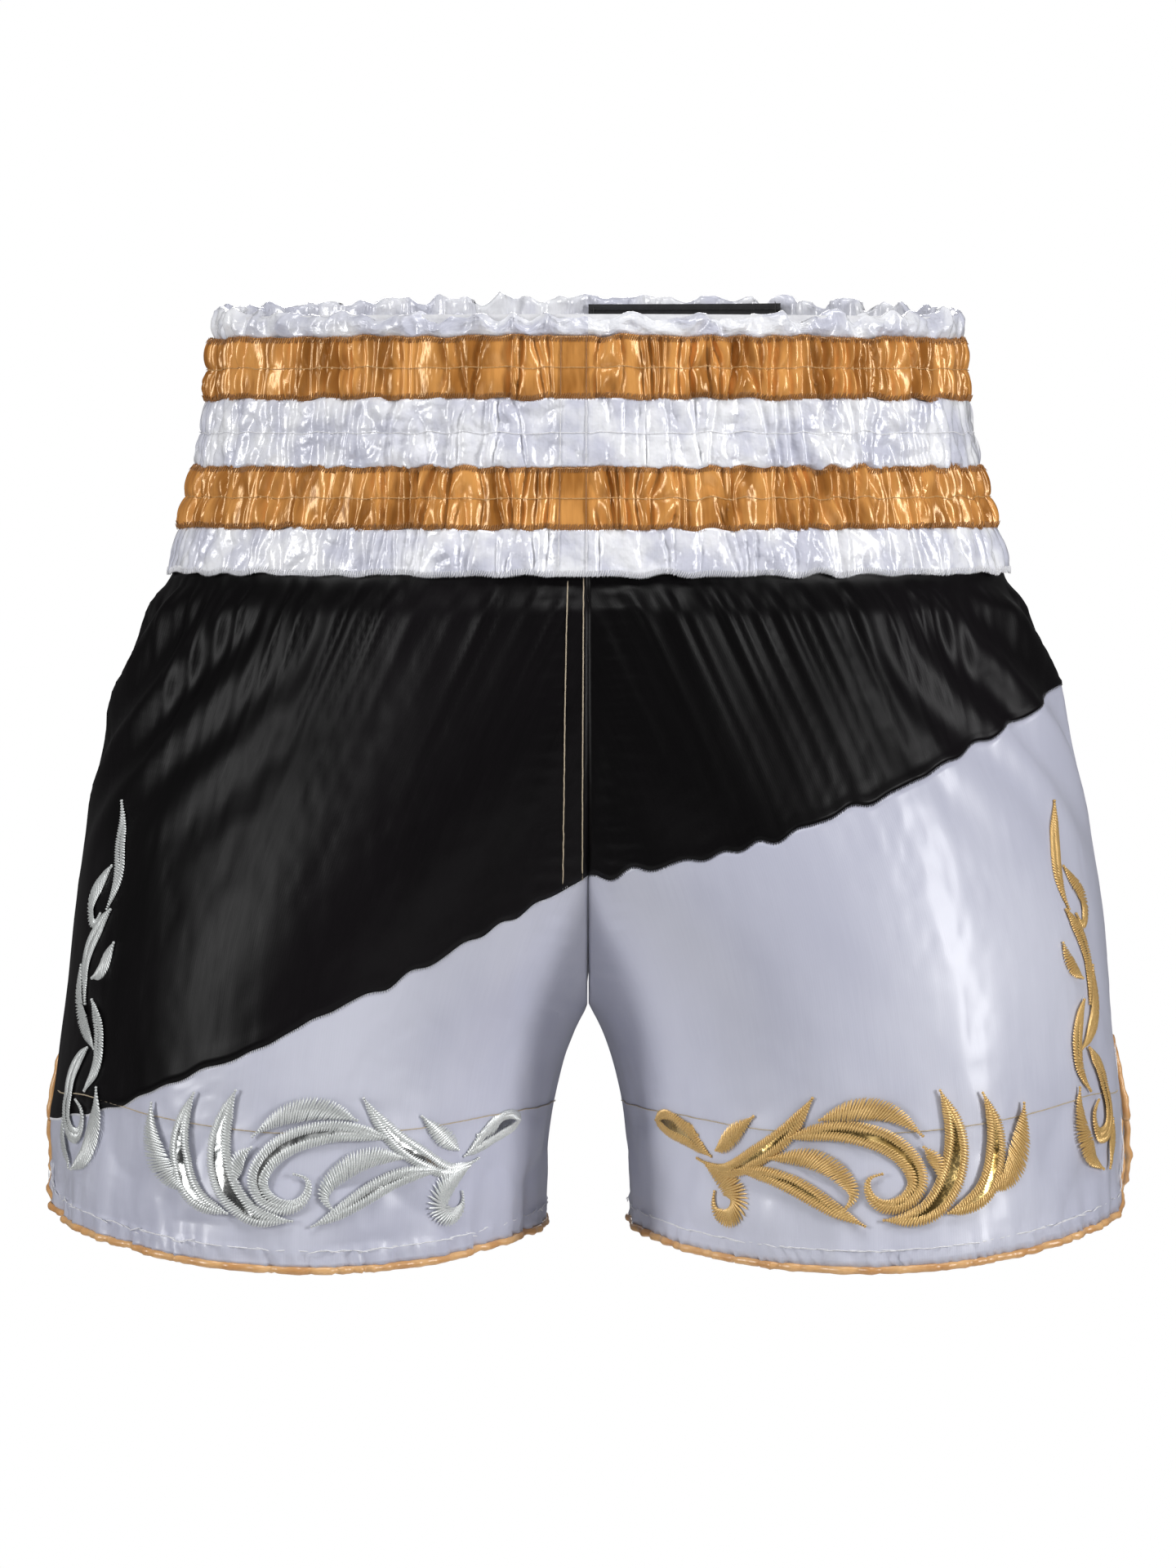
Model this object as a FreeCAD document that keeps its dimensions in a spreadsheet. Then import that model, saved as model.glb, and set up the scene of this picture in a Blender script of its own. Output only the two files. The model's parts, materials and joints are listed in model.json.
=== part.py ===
"""Boxing shorts in satin, worn shape: a gathered elastic waistband over two flared legs with side slits.

Frame: millimetres, +Z up, the front faces -Y, the wearer's left leg is on +X. The origin is the centre of the
waist opening, level with the rim. Every shell is the space between two skins, and a skin is a loft through
level ovals. Legs are cut from their shells by regions drawn from the front (XZ) and from the side (YZ).
"""

import FreeCAD, Part
import math
import os

import Sketcher

ROOT_TWO = math.sqrt(2)
REACH_X = 260
REACH_Y = 180

DIMENSIONS = {
    # Waistband, from the rim downwards.
    "header_height": 12,
    "stripe_height": 23,
    "centre_height": 25,
    "foot_height": 17,
    # Layers of the waistband, from outside in.
    "gather": 3.0,
    "elastic": 1.2,
    "lining": 1.0,
    "patch": 0.6,
    "elastic_width": 10,
    # Layers of the legs.
    "cloth": 0.8,
    "facing": 0.8,
    "trim": 0.8,
    # Half widths of the whole garment, level by level.
    "width_rim": 143.5,
    "width_waist": 148,
    "width_foot": 161.5,
    "width_hip": 177,
    "width_haunch": 185.5,
    "width_seat": 191.5,
    "width_upper": 196.5,
    "width_crotch": 199,
    "width_thigh": 201.5,
    "width_hem": 204,
    # Half depths, level by level.
    "depth_rim": 102,
    "depth_waist": 103,
    "depth_foot": 108,
    "depth_hip": 114,
    "depth_haunch": 117,
    "depth_seat": 118.5,
    "depth_upper": 118.5,
    "depth_crotch": 117.5,
    "depth_thigh": 117,
    "depth_hem": 117,
    # How far each leg's centre stands from the middle, level by level.
    "centre_hip": 10,
    "centre_haunch": 31,
    "centre_seat": 57,
    "centre_upper": 85.5,
    "centre_crotch": 99.5,
    "centre_thigh": 106,
    "centre_hem": 110.5,
    # Drops below the rim.
    "drop_waist": 48,
    "drop_hip": 140,
    "drop_haunch": 170,
    "drop_seat": 200,
    "drop_upper": 236,
    "drop_crotch": 265,
    "drop_thigh": 292,
    "drop_skin": 366,
    # Hem line, side slit and edge binding.
    "drop_hem": 356,
    "hem_middle": 95,
    "hem_radius": 465,
    "binding_width": 3,
    "facing_depth": 58,
    "slit_height": 81,
    "slit_gap": 0.8,
    "slit_corner": 36,
    "slit_corner_rise": 48,
    # Seam between the black and the white cloth: drops at the middle and beyond each side, and its bows.
    "split_drop_middle": 210,
    "split_reach": 215,
    "split_drop_right": 312,
    "split_drop_left": 118,
    "split_radius_right": 1500,
    "split_radius_left": 420,
    # Seam strips and the patch inside the back.
    "fell_width": 10,
    "join_width": 12,
    "patch_width": 84,
    "patch_height": 46,
    # Embroidered appliques: tips of a leaf and the radius of its two edges.
    "hem_leaf_inner": 22,
    "hem_leaf_outer": 166,
    "hem_leaf_rise": 50,
    "hem_leaf_radius": 130,
    "side_leaf_reach": 58,
    "side_leaf_top_rise": 166,
    "side_leaf_bottom_rise": 28,
    "side_leaf_radius": 185,
}

doc = FreeCAD.newDocument("boxing_shorts")
sheet = doc.addObject("Spreadsheet::Sheet", "Sizes")
for row, (alias, number) in enumerate(DIMENSIONS.items(), start=1):
    sheet.set(f"A{row}", alias.replace("_", " "))
    sheet.set(f"B{row}", str(number))
    sheet.setAlias(f"B{row}", alias)
doc.recompute()


class Size:
    """A length together with the expression that gives it, so a sketch and its bindings agree."""

    def __init__(self, value, text):
        self.value = value
        self.text = text

    def __add__(self, other):
        other = plain(other)
        return Size(self.value + other.value, f"({self.text} + {other.text})")

    def __sub__(self, other):
        other = plain(other)
        return Size(self.value - other.value, f"({self.text} - {other.text})")

    def __mul__(self, factor):
        return Size(self.value * factor, f"({self.text} * {factor:.9g})")

    def __neg__(self):
        return Size(-self.value, f"(0 - {self.text})")


def plain(number):
    """A bare number as a Size."""
    return number if isinstance(number, Size) else Size(number, f"{number:.9g}")


def size(alias):
    """The driving dimension of that name."""
    return Size(float(DIMENSIONS[alias]), f"Sizes.{alias}")


def bind(item, place, length):
    """Ties one property of a document object to a Size."""
    item.setExpression(place, length.text)


def above_hem(alias):
    """The drop of a place that stands that far above the lowest point of the hem."""
    return size("drop_hem") - size(alias)


NOTHING = plain(0)
band_height = size("header_height") + size("stripe_height") * 2 + size("centre_height") + size("foot_height")


# ---------------------------------------------------------------- level ovals and skins

def oval(name, centre, half_width, half_depth, drop):
    """A level oval of four arcs that meet at 45 degrees, which stays one when every radius shrinks alike."""
    front_radius = half_width * (1 + 1 / ROOT_TWO) - half_depth * (1 / ROOT_TWO)
    side_radius = half_depth * ROOT_TWO - front_radius * (ROOT_TWO - 1)
    reach = half_width - side_radius
    rise = half_depth - front_radius
    sketch = doc.addObject("Sketcher::SketchObject", name)
    arcs = [
        (centre + reach, NOTHING, side_radius, -45),
        (centre, rise, front_radius, 45),
        (centre - reach, NOTHING, side_radius, 135),
        (centre, -rise, front_radius, 225),
    ]
    for x, y, radius, start in arcs:
        circle = Part.Circle(FreeCAD.Vector(x.value, y.value, 0), FreeCAD.Vector(0, 0, 1), radius.value)
        sketch.addGeometry(Part.ArcOfCircle(circle, math.radians(start), math.radians(start + 90)))
    for arc in range(4):
        sketch.addConstraint(Sketcher.Constraint("Tangent", arc, 2, (arc + 1) % 4, 1))
    sketch.addConstraint(Sketcher.Constraint("PointOnObject", 0, 3, -1))
    sketch.addConstraint(Sketcher.Constraint("PointOnObject", 2, 3, -1))
    sketch.addConstraint(Sketcher.Constraint("Equal", 0, 2))
    sketch.addConstraint(Sketcher.Constraint("Equal", 1, 3))
    dimensions = [
        ("outer_centre", Sketcher.Constraint("DistanceX", -1, 1, 0, 3, (centre + reach).value), centre + reach),
        ("inner_centre", Sketcher.Constraint("DistanceX", -1, 1, 2, 3, (centre - reach).value), centre - reach),
        ("side_radius", Sketcher.Constraint("Radius", 0, side_radius.value), side_radius),
        ("front_radius", Sketcher.Constraint("Radius", 1, front_radius.value), front_radius),
    ]
    for label, constraint, length in dimensions:
        index = sketch.addConstraint(constraint)
        sketch.renameConstraint(index, label)
        bind(sketch, f"Constraints.{label}", length)
    bind(sketch, ".Placement.Base.z", -drop)
    return sketch


def loft(name, sections):
    """A closed solid through level ovals."""
    item = doc.addObject("Part::Loft", name)
    item.Sections = sections
    item.Solid = True
    item.Ruled = False
    return item


BAND_LEVELS = [("rim", NOTHING), ("waist", size("drop_waist")), ("foot", band_height)]
LEG_LEVELS = [
    ("foot", NOTHING, band_height),
    ("hip", size("centre_hip"), size("drop_hip")),
    ("haunch", size("centre_haunch"), size("drop_haunch")),
    ("seat", size("centre_seat"), size("drop_seat")),
    ("upper", size("centre_upper"), size("drop_upper")),
    ("crotch", size("centre_crotch"), size("drop_crotch")),
    ("thigh", size("centre_thigh"), size("drop_thigh")),
    ("hem", size("centre_hem"), size("drop_skin")),
]


def band_skin(name, inset):
    """The waistband's outside, moved in by inset."""
    return loft(name, [
        oval(f"{name}_{level}", NOTHING, size(f"width_{level}") - inset, size(f"depth_{level}") - inset, drop)
        for level, drop in BAND_LEVELS
    ])


def leg_skin(name, inset):
    """The left leg's outside, moved in by inset."""
    return loft(name, [
        oval(f"{name}_{level}", centre, size(f"width_{level}") - centre - inset, size(f"depth_{level}") - inset, drop)
        for level, centre, drop in LEG_LEVELS
    ])


# ---------------------------------------------------------------- solids made of other solids

def cut(name, base, tool):
    """Base without tool."""
    item = doc.addObject("Part::Cut", name)
    item.Base = base
    item.Tool = tool
    return item


def common(name, base, tool):
    """What base and tool share."""
    item = doc.addObject("Part::Common", name)
    item.Base = base
    item.Tool = tool
    return item


def mirrored(name, source):
    """The same solid on the other side of the middle plane."""
    item = doc.addObject("Part::Mirroring", name)
    item.Source = source
    item.Normal = FreeCAD.Vector(1, 0, 0)
    return item


def block(name, low, high):
    """A box between two corners, each of three Sizes."""
    item = doc.addObject("Part::Box", name)
    for place, axis, start, end in zip(("Length", "Width", "Height"), "xyz", low, high):
        bind(item, place, end - start)
        bind(item, f".Placement.Base.{axis}", start)
    return item


FRONT_VIEW = FreeCAD.Rotation(FreeCAD.Vector(1, 0, 0), 90)
SIDE_VIEW = FreeCAD.Rotation(
    FreeCAD.Vector(0, 1, 0), FreeCAD.Vector(0, 0, 1), FreeCAD.Vector(1, 0, 0), "ZXY"
)


def arc_between(start, end, radius, bulge):
    """An arc between two points, always counterclockwise. Bulge 1 puts its middle to the left of the way from
    start to end, -1 to the right."""
    chord = end - start
    half = chord.Length / 2
    sideways = FreeCAD.Vector(-chord.y, chord.x, 0).normalize() * bulge
    centre = (start + end) * 0.5 - sideways * math.sqrt(radius * radius - half * half)
    first, last = (end, start) if bulge > 0 else (start, end)
    angles = [math.atan2(point.y - centre.y, point.x - centre.x) for point in (first, last)]
    if angles[1] < angles[0]:
        angles[1] += 2 * math.pi
    return Part.ArcOfCircle(Part.Circle(centre, FreeCAD.Vector(0, 0, 1), radius), *angles)


def outline(name, view, corners, bends=None):
    """A closed outline through corners, each a pair of Sizes. Bends gives the edges that are arcs, by the
    index of the corner that they start from: a radius and the side that the arc bulges to."""
    bends = bends or {}
    sketch = doc.addObject("Sketcher::SketchObject", name)
    sketch.Placement = FreeCAD.Placement(FreeCAD.Vector(0, 0, 0), view)
    points = [FreeCAD.Vector(x.value, y.value, 0) for x, y in corners]
    starts = []
    for index, point in enumerate(points):
        follower = points[(index + 1) % len(points)]
        if index not in bends:
            sketch.addGeometry(Part.LineSegment(point, follower))
            starts.append((1, 2))
            continue
        radius, bulge = bends[index]
        sketch.addGeometry(arc_between(point, follower, radius.value, bulge))
        starts.append((2, 1) if bulge > 0 else (1, 2))
    for index in range(len(points)):
        following = (index + 1) % len(points)
        sketch.addConstraint(
            Sketcher.Constraint("Coincident", index, starts[index][1], following, starts[following][0])
        )
    for index, (x, y) in enumerate(corners):
        for kind, length in (("DistanceX", x), ("DistanceY", y)):
            constraint = Sketcher.Constraint(kind, -1, 1, index, starts[index][0], length.value)
            label = f"corner_{index}_{kind[-1].lower()}"
            sketch.renameConstraint(sketch.addConstraint(constraint), label)
            bind(sketch, f"Constraints.{label}", length)
    for index, (radius, _) in bends.items():
        label = f"bend_{index}"
        sketch.renameConstraint(sketch.addConstraint(Sketcher.Constraint("Radius", index, radius.value)), label)
        bind(sketch, f"Constraints.{label}", radius)
    return sketch


def prism(name, sketch, direction, forward, backward=0):
    """The solid that an outline sweeps along a direction."""
    item = doc.addObject("Part::Extrusion", name)
    item.Base = sketch
    item.DirMode = "Custom"
    item.Dir = direction
    item.Solid = True
    item.LengthFwd = forward
    item.LengthRev = backward
    return item


ALONG_X = FreeCAD.Vector(1, 0, 0)
ALONG_Y = FreeCAD.Vector(0, 1, 0)
FAR_X = plain(REACH_X)
FAR_Y = plain(REACH_Y)
BELOW = plain(400)


# ---------------------------------------------------------------- waistband

def build_waistband():
    """Five gathered outer rings, six elastics, a lining, and what is sewn to the lining."""
    elastic_inset = size("gather")
    lining_inset = elastic_inset + size("elastic")
    patch_inset = lining_inset + size("lining")
    inner_inset = patch_inset + size("patch")
    skins = [
        band_skin(f"band_skin_{index}", inset)
        for index, inset in enumerate((NOTHING, elastic_inset, lining_inset, patch_inset, inner_inset))
    ]
    gathers, elastics, lining, patches = [
        cut(f"band_layer_{index}", skins[index], skins[index + 1]) for index in range(4)
    ]

    def slab(name, top, height):
        """All of a waistband layer between two levels."""
        return block(name, (-FAR_X, -FAR_Y, -(top + height)), (FAR_X, FAR_Y, -top))

    pieces = {}
    top = NOTHING
    rings = [
        ("waistband_header", "header_height"),
        ("upper_gold_stripe", "stripe_height"),
        ("waistband_centre", "centre_height"),
        ("lower_gold_stripe", "stripe_height"),
        ("waistband_foot", "foot_height"),
    ]
    channel = 0
    for name, height_name in rings:
        height = size(height_name)
        pieces[name] = common(name, gathers, slab(f"{name}_slab", top, height))
        if name not in ("waistband_header", "waistband_foot"):
            for half in (0, 1):
                channel += 1
                channel_top = top + height * (half / 2)
                margin = (height * 0.5 - size("elastic_width")) * 0.5
                strip = slab(f"channel_{channel}_slab", channel_top + margin, size("elastic_width"))
                pieces[f"elastic_{channel}"] = common(f"elastic_{channel}", elastics, strip)
        top = top + height
    pieces["waistband_lining"] = common("waistband_lining", lining, slab("lining_slab", NOTHING, top))
    patch_box = block(
        "patch_box", (NOTHING, NOTHING, -size("patch_height")), (size("patch_width"), FAR_Y, NOTHING)
    )
    pieces["inner_patch"] = common("inner_patch", patches, patch_box)
    join_box = block("join_box", (-size("join_width"), -FAR_Y, -top), (NOTHING, NOTHING, NOTHING))
    pieces["waistband_join_tape"] = common("waistband_join_tape", patches, join_box)
    return pieces


# ---------------------------------------------------------------- legs

def leg_region(name, inset):
    """From the waistband's foot to the hem line, raised by inset, seen from the front."""
    drop = size("drop_hem")
    radius = size("hem_radius")
    middle = size("hem_middle")
    lift = radius - inset
    inner_rise = lift.value - math.sqrt(lift.value ** 2 - middle.value ** 2)
    outer_rise = lift.value - math.sqrt(lift.value ** 2 - (REACH_X - middle.value) ** 2)
    inner_text = f"({lift.text} - sqrt({lift.text} ^ 2 - {middle.text} ^ 2))"
    outer_text = f"({lift.text} - sqrt({lift.text} ^ 2 - ({REACH_X} - {middle.text}) ^ 2))"
    base = inset - drop
    corners = [
        (NOTHING, -band_height),
        (NOTHING, base + Size(inner_rise, inner_text)),
        (FAR_X, base + Size(outer_rise, outer_text)),
        (FAR_X, -band_height),
    ]
    sketch = outline(f"{name}_outline", FRONT_VIEW, corners, {1: (lift, -1)})
    return prism(name, sketch, ALONG_Y, REACH_Y, REACH_Y)


def slit_notch(name, inset):
    """What the side slit and its rounded corners leave out, seen from the side."""
    half_gap = size("slit_gap") * 0.5 + inset
    radius = size("slit_corner") - inset
    corner = above_hem("slit_corner_rise")
    foot = corner + radius
    corners = [
        (-half_gap, -above_hem("slit_height")),
        (-half_gap, -corner),
        (-(half_gap + radius), -foot),
        (-(half_gap + radius), -BELOW),
        (half_gap + radius, -BELOW),
        (half_gap + radius, -foot),
        (half_gap, -corner),
        (half_gap, -above_hem("slit_height")),
    ]
    sketch = outline(f"{name}_outline", SIDE_VIEW, corners, {1: (radius, 1), 5: (radius, 1)})
    start = size("centre_thigh")
    item = prism(name, sketch, ALONG_X, REACH_X)
    bind(sketch, ".Placement.Base.x", start)
    return item


def split_region(name, side, upper):
    """The cloth above or below the slanting seam of one leg, seen from the front."""
    reach = size("split_reach") * side
    end_drop = size("split_drop_left" if side > 0 else "split_drop_right")
    radius = size("split_radius_left" if side > 0 else "split_radius_right")
    seam_end = (reach, -end_drop)
    seam_start = (NOTHING, -size("split_drop_middle"))
    level = NOTHING if upper else -BELOW
    corners = [seam_start, seam_end, (reach, level), (NOTHING, level)]
    bulge = -1 if side > 0 else 1
    return outline(f"{name}_outline", FRONT_VIEW, corners, {0: (radius, bulge)})


def leaf(name, view, first, second, radius):
    """A leaf between two tips, with two alike edges."""
    return outline(name, view, [first, second], {0: (radius, 1), 1: (radius, 1)})


def build_legs():
    """Eight satin panels with their edge bindings, facings, appliques and centre seam strips."""
    inner_inset = size("cloth") + size("facing")
    outer = leg_skin("leg_skin_outer", -size("trim"))
    face = leg_skin("leg_skin_face", NOTHING)
    back = leg_skin("leg_skin_back", size("cloth"))
    inner = leg_skin("leg_skin_inner", inner_inset)
    layers = {
        "cloth": cut("cloth_layer", face, back),
        "facing": cut("facing_layer", back, inner),
        "trim": cut("trim_layer", outer, face),
        "binding": cut("binding_layer", outer, inner),
    }
    whole = cut("leg_whole", leg_region("leg_region_whole", NOTHING), slit_notch("slit_whole", NOTHING))
    edge = size("binding_width")
    within = cut("leg_within", leg_region("leg_region_within", edge), slit_notch("slit_within", edge))
    above_facing = leg_region("leg_region_above_facing", size("facing_depth"))
    regions = {
        "cloth": within,
        "facing": cut("facing_region", within, above_facing),
        "trim": whole,
        "binding": cut("binding_region", whole, within),
    }
    blanks = {kind: common(f"{kind}_blank", layers[kind], regions[kind]) for kind in layers}
    fell_boxes = {}
    for half, near, far in (("front", -FAR_Y, NOTHING), ("back", NOTHING, FAR_Y)):
        fell_boxes[half] = block(
            f"{half}_fell_box",
            (-size("fell_width"), near, -size("drop_crotch")),
            (NOTHING, far, -band_height),
        )
    pieces = {}
    for side_name, side in (("left", 1), ("right", -1)):
        mine = blanks if side > 0 else {
            kind: mirrored(f"{kind}_blank_right", blank) for kind, blank in blanks.items()
        }
        for half, forward, backward in (("front", 0, REACH_Y), ("back", REACH_Y, 0)):
            away = -1 if half == "front" else 1
            for part, upper in (("upper", True), ("lower", False)):
                name = f"{half}_{side_name}_{part}_panel"
                region = prism(f"{name}_region", split_region(name, side, upper), ALONG_Y, forward, backward)
                pieces[name] = common(name, mine["cloth"], region)
            low = [NOTHING if side > 0 else -FAR_X, NOTHING if away > 0 else -FAR_Y, -BELOW]
            high = [FAR_X if side > 0 else NOTHING, FAR_Y if away > 0 else NOTHING, NOTHING]
            for kind in ("facing", "binding"):
                name = f"{half}_{side_name}_hem_{kind}"
                quarter = block(f"{name}_quarter", low, high)
                if kind == "facing" and side < 0:
                    beside = cut(f"{name}_quarter_beside_fell", quarter, fell_boxes[half])
                    pieces[name] = common(name, mine[kind], beside)
                else:
                    pieces[name] = common(name, mine[kind], quarter)
            pieces.update(build_appliques(mine["trim"], side, away, half, forward, backward))
    seam_layer = mirrored("seam_layer_right", layers["facing"])
    for half, fell_box in fell_boxes.items():
        name = f"{half}_centre_seam_fell"
        pieces[name] = common(name, seam_layer, fell_box)
    return pieces


def build_appliques(layer, side, away, half, forward, backward):
    """The two appliques of one quarter: a leaf along the hem and a leaf up the side."""
    colour = "gold" if side > 0 else "silver"
    tips = [
        (size("hem_leaf_inner") * side, -above_hem("hem_leaf_rise")),
        (size("hem_leaf_outer") * side, -above_hem("hem_leaf_rise")),
    ]
    name = f"{colour}_hem_applique_{half}"
    sketch = leaf(f"{name}_outline", FRONT_VIEW, tips[0], tips[1], size("hem_leaf_radius"))
    pieces = {name: common(name, layer, prism(f"{name}_region", sketch, ALONG_Y, forward, backward))}
    reach = size("side_leaf_reach") * away
    name = f"{colour}_side_applique_{half}"
    sketch = leaf(
        f"{name}_outline",
        SIDE_VIEW,
        (reach, -above_hem("side_leaf_top_rise")),
        (reach, -above_hem("side_leaf_bottom_rise")),
        size("side_leaf_radius"),
    )
    bind(sketch, ".Placement.Base.x", size("centre_thigh") * side)
    region = prism(f"{name}_region", sketch, ALONG_X * side, REACH_X)
    pieces[name] = common(name, layer, region)
    return pieces


def write(pieces):
    """Checks every object of the document, then writes each piece's solids to its own file."""
    doc.recompute()
    failed = [item.Name for item in doc.Objects if {"Invalid", "Error"} & set(item.State)]
    if failed:
        raise RuntimeError(f"these objects failed: {failed}")
    for name, item in pieces.items():
        item.Label = name
        shape = item.Shape
        if shape.isNull() or not shape.isValid() or not shape.Solids:
            raise RuntimeError(f"{name} is not a valid solid")
    os.makedirs("parts", exist_ok=True)
    for name, item in pieces.items():
        solids = item.Shape.Solids
        shape = solids[0] if len(solids) == 1 else Part.makeCompound(solids)
        shape.exportStep(f"parts/{name}.step")
        print(f"{name:32s} solids {len(solids)}  volume {shape.Volume / 1000:.3f} cm3")


write({**build_waistband(), **build_legs()})
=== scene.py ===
"""Satin boxing shorts in their worn shape: cloth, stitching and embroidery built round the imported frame.

Lengths are in metres. +Z is up, the front faces -Y and the wearer's left leg is on +X. A half leg is the front
or the back of one leg, from the side seam to the centre seam and the inseam. On it, "along" is the distance
round the leg from the side seam, and "drop" is the depth below the rim of the waistband.
"""

from __future__ import annotations

import json
import logging
import math
from dataclasses import dataclass, field
from enum import Enum
from functools import cached_property

import bmesh
import bpy
import numpy as np
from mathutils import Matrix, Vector, noise
from mathutils.bvhtree import BVHTree

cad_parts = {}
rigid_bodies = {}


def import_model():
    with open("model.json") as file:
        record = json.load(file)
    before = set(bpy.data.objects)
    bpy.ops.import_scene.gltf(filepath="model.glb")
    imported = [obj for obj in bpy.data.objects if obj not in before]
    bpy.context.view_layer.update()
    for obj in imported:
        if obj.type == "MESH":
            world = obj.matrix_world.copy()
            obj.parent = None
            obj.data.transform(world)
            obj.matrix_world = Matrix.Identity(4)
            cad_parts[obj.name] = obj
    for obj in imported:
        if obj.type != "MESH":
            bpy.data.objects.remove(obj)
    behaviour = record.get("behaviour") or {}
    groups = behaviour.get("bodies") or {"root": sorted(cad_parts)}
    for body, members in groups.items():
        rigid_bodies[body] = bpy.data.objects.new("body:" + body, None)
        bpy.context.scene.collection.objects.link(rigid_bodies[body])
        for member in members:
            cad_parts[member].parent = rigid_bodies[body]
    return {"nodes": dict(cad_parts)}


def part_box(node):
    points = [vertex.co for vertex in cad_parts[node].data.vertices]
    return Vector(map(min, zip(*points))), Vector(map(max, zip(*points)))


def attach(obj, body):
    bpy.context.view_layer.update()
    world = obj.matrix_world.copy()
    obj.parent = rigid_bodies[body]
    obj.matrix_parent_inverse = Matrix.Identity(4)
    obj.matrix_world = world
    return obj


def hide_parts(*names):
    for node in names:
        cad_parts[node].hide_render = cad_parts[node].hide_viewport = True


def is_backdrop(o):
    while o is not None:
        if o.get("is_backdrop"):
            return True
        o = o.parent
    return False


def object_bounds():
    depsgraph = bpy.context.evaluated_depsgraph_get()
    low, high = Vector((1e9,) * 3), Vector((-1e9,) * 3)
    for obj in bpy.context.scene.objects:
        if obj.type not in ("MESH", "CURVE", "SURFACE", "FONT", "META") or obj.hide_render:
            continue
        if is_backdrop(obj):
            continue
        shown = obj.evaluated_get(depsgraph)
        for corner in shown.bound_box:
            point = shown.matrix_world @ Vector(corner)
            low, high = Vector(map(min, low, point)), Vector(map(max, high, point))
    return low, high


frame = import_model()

LOG = logging.getLogger("boxing_shorts")
MM = 0.001
ROOT_TWO = math.sqrt(2)
Colour = tuple[float, float, float]


# ------------------------------------------------------------------------------------------------ shader kit


class Wire:
    """One output of a shader node, with the operators that add Math nodes to its tree."""

    def __init__(self, surface: Surface, socket: bpy.types.NodeSocket) -> None:
        """Keeps the output and the surface that it belongs to."""
        self.surface = surface
        self.socket = socket

    def math(self, operation: str, *others: Wire | float, swapped: bool = False) -> Wire:
        """Adds one Math node.

        Args:
            operation: The node's operation.
            others: The other operands.
            swapped: Whether this value comes second.

        Returns:
            The node's output.
        """
        values: list[Wire | float] = [self, *others]
        if swapped:
            values.reverse()
        return self.surface.node("ShaderNodeMath", {"operation": operation}, dict(enumerate(values)))

    def __add__(self, other: Wire | float) -> Wire:
        """This value plus another."""
        return self.math("ADD", other)

    __radd__ = __add__

    def __sub__(self, other: Wire | float) -> Wire:
        """This value minus another."""
        return self.math("SUBTRACT", other)

    def __rsub__(self, other: float) -> Wire:
        """A number minus this value."""
        return self.math("SUBTRACT", other, swapped=True)

    def __mul__(self, other: Wire | float) -> Wire:
        """This value times another."""
        return self.math("MULTIPLY", other)

    __rmul__ = __mul__

    def between(self, low: float, high: float) -> Wire:
        """0 at or below low and 1 at or above high, smooth in between."""
        settings = {"interpolation_type": "SMOOTHSTEP"}
        return self.surface.node("ShaderNodeMapRange", settings, {0: self, 1: low, 2: high, 3: 0.0, 4: 1.0})


class Surface:
    """A material that is being built on one Principled shader."""

    def __init__(self, name: str) -> None:
        """Starts the material with its Principled shader and nothing linked."""
        self.material = bpy.data.materials.new(name)
        self.material.use_nodes = True
        self.tree = self.material.node_tree
        self.shader = self.tree.nodes["Principled BSDF"]

    def node(
        self,
        kind: str,
        settings: dict[str, object] | None = None,
        sockets: dict[int | str, object] | None = None,
        output: int | str = 0,
    ) -> Wire:
        """Adds any node.

        Args:
            kind: The node's type.
            settings: Its properties, set first, and "stops" for a ramp's places and colours.
            sockets: The value or the link of each input, by index or name.
            output: Which output to hand back.

        Returns:
            That output.
        """
        node = self.tree.nodes.new(kind)
        for name, value in (settings or {}).items():
            if name != "stops":
                setattr(node, name, value)
                continue
            ramp = node.color_ramp
            while len(ramp.elements) < len(value):
                ramp.elements.new(0.5)
            for element, (place, colour) in zip(ramp.elements, value):
                element.position = place
                element.color = (*colour, 1.0)
        for key, value in (sockets or {}).items():
            if isinstance(value, Wire):
                self.tree.links.new(value.socket, node.inputs[key])
            elif isinstance(value, tuple) and len(value) == 3 and node.inputs[key].type == "RGBA":
                node.inputs[key].default_value = (*value, 1.0)
            else:
                node.inputs[key].default_value = value
        return Wire(self, node.outputs[output])

    def place(self, scale: tuple[float, float, float] = (1.0, 1.0, 1.0), cloth: bool = True) -> Wire:
        """Where a point is, in metres times scale: on the cloth's own cut, or else in space."""
        source = "UV" if cloth else "Object"
        start = self.node("ShaderNodeTexCoord", output=source)
        return self.node("ShaderNodeVectorMath", {"operation": "MULTIPLY"}, {0: start, 1: scale})

    def grain(self, where: Wire, scale: float, detail: float = 2.0, rough: float = 0.5) -> Wire:
        """Smooth noise from 0 to 1."""
        sockets = {"Vector": where, "Scale": scale, "Detail": detail, "Roughness": rough}
        return self.node("ShaderNodeTexNoise", {}, sockets)

    def mix(self, factor: Wire | float, first: Wire | Colour, second: Wire | Colour) -> Wire:
        """A colour between two."""
        return self.node("ShaderNodeMix", {"data_type": "RGBA"}, {0: factor, 6: first, 7: second}, output=2)

    def bump(self, height: Wire, distance: float, strength: float = 1.0, below: Wire | None = None) -> Wire:
        """A relief of that distance in metres, on top of another one."""
        sockets: dict[int | str, object] = {"Height": height, "Distance": distance, "Strength": strength}
        if below is not None:
            sockets["Normal"] = below
        return self.node("ShaderNodeBump", {}, sockets)

    def set(self, **values: object) -> None:
        """Sets or links the shader's inputs, named with underscores for spaces."""
        for name, value in values.items():
            socket = self.shader.inputs[name.replace("_", " ")]
            if isinstance(value, Wire):
                self.tree.links.new(value.socket, socket)
            elif socket.type == "RGBA":
                socket.default_value = (*value, 1.0)
            else:
                socket.default_value = value


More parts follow.
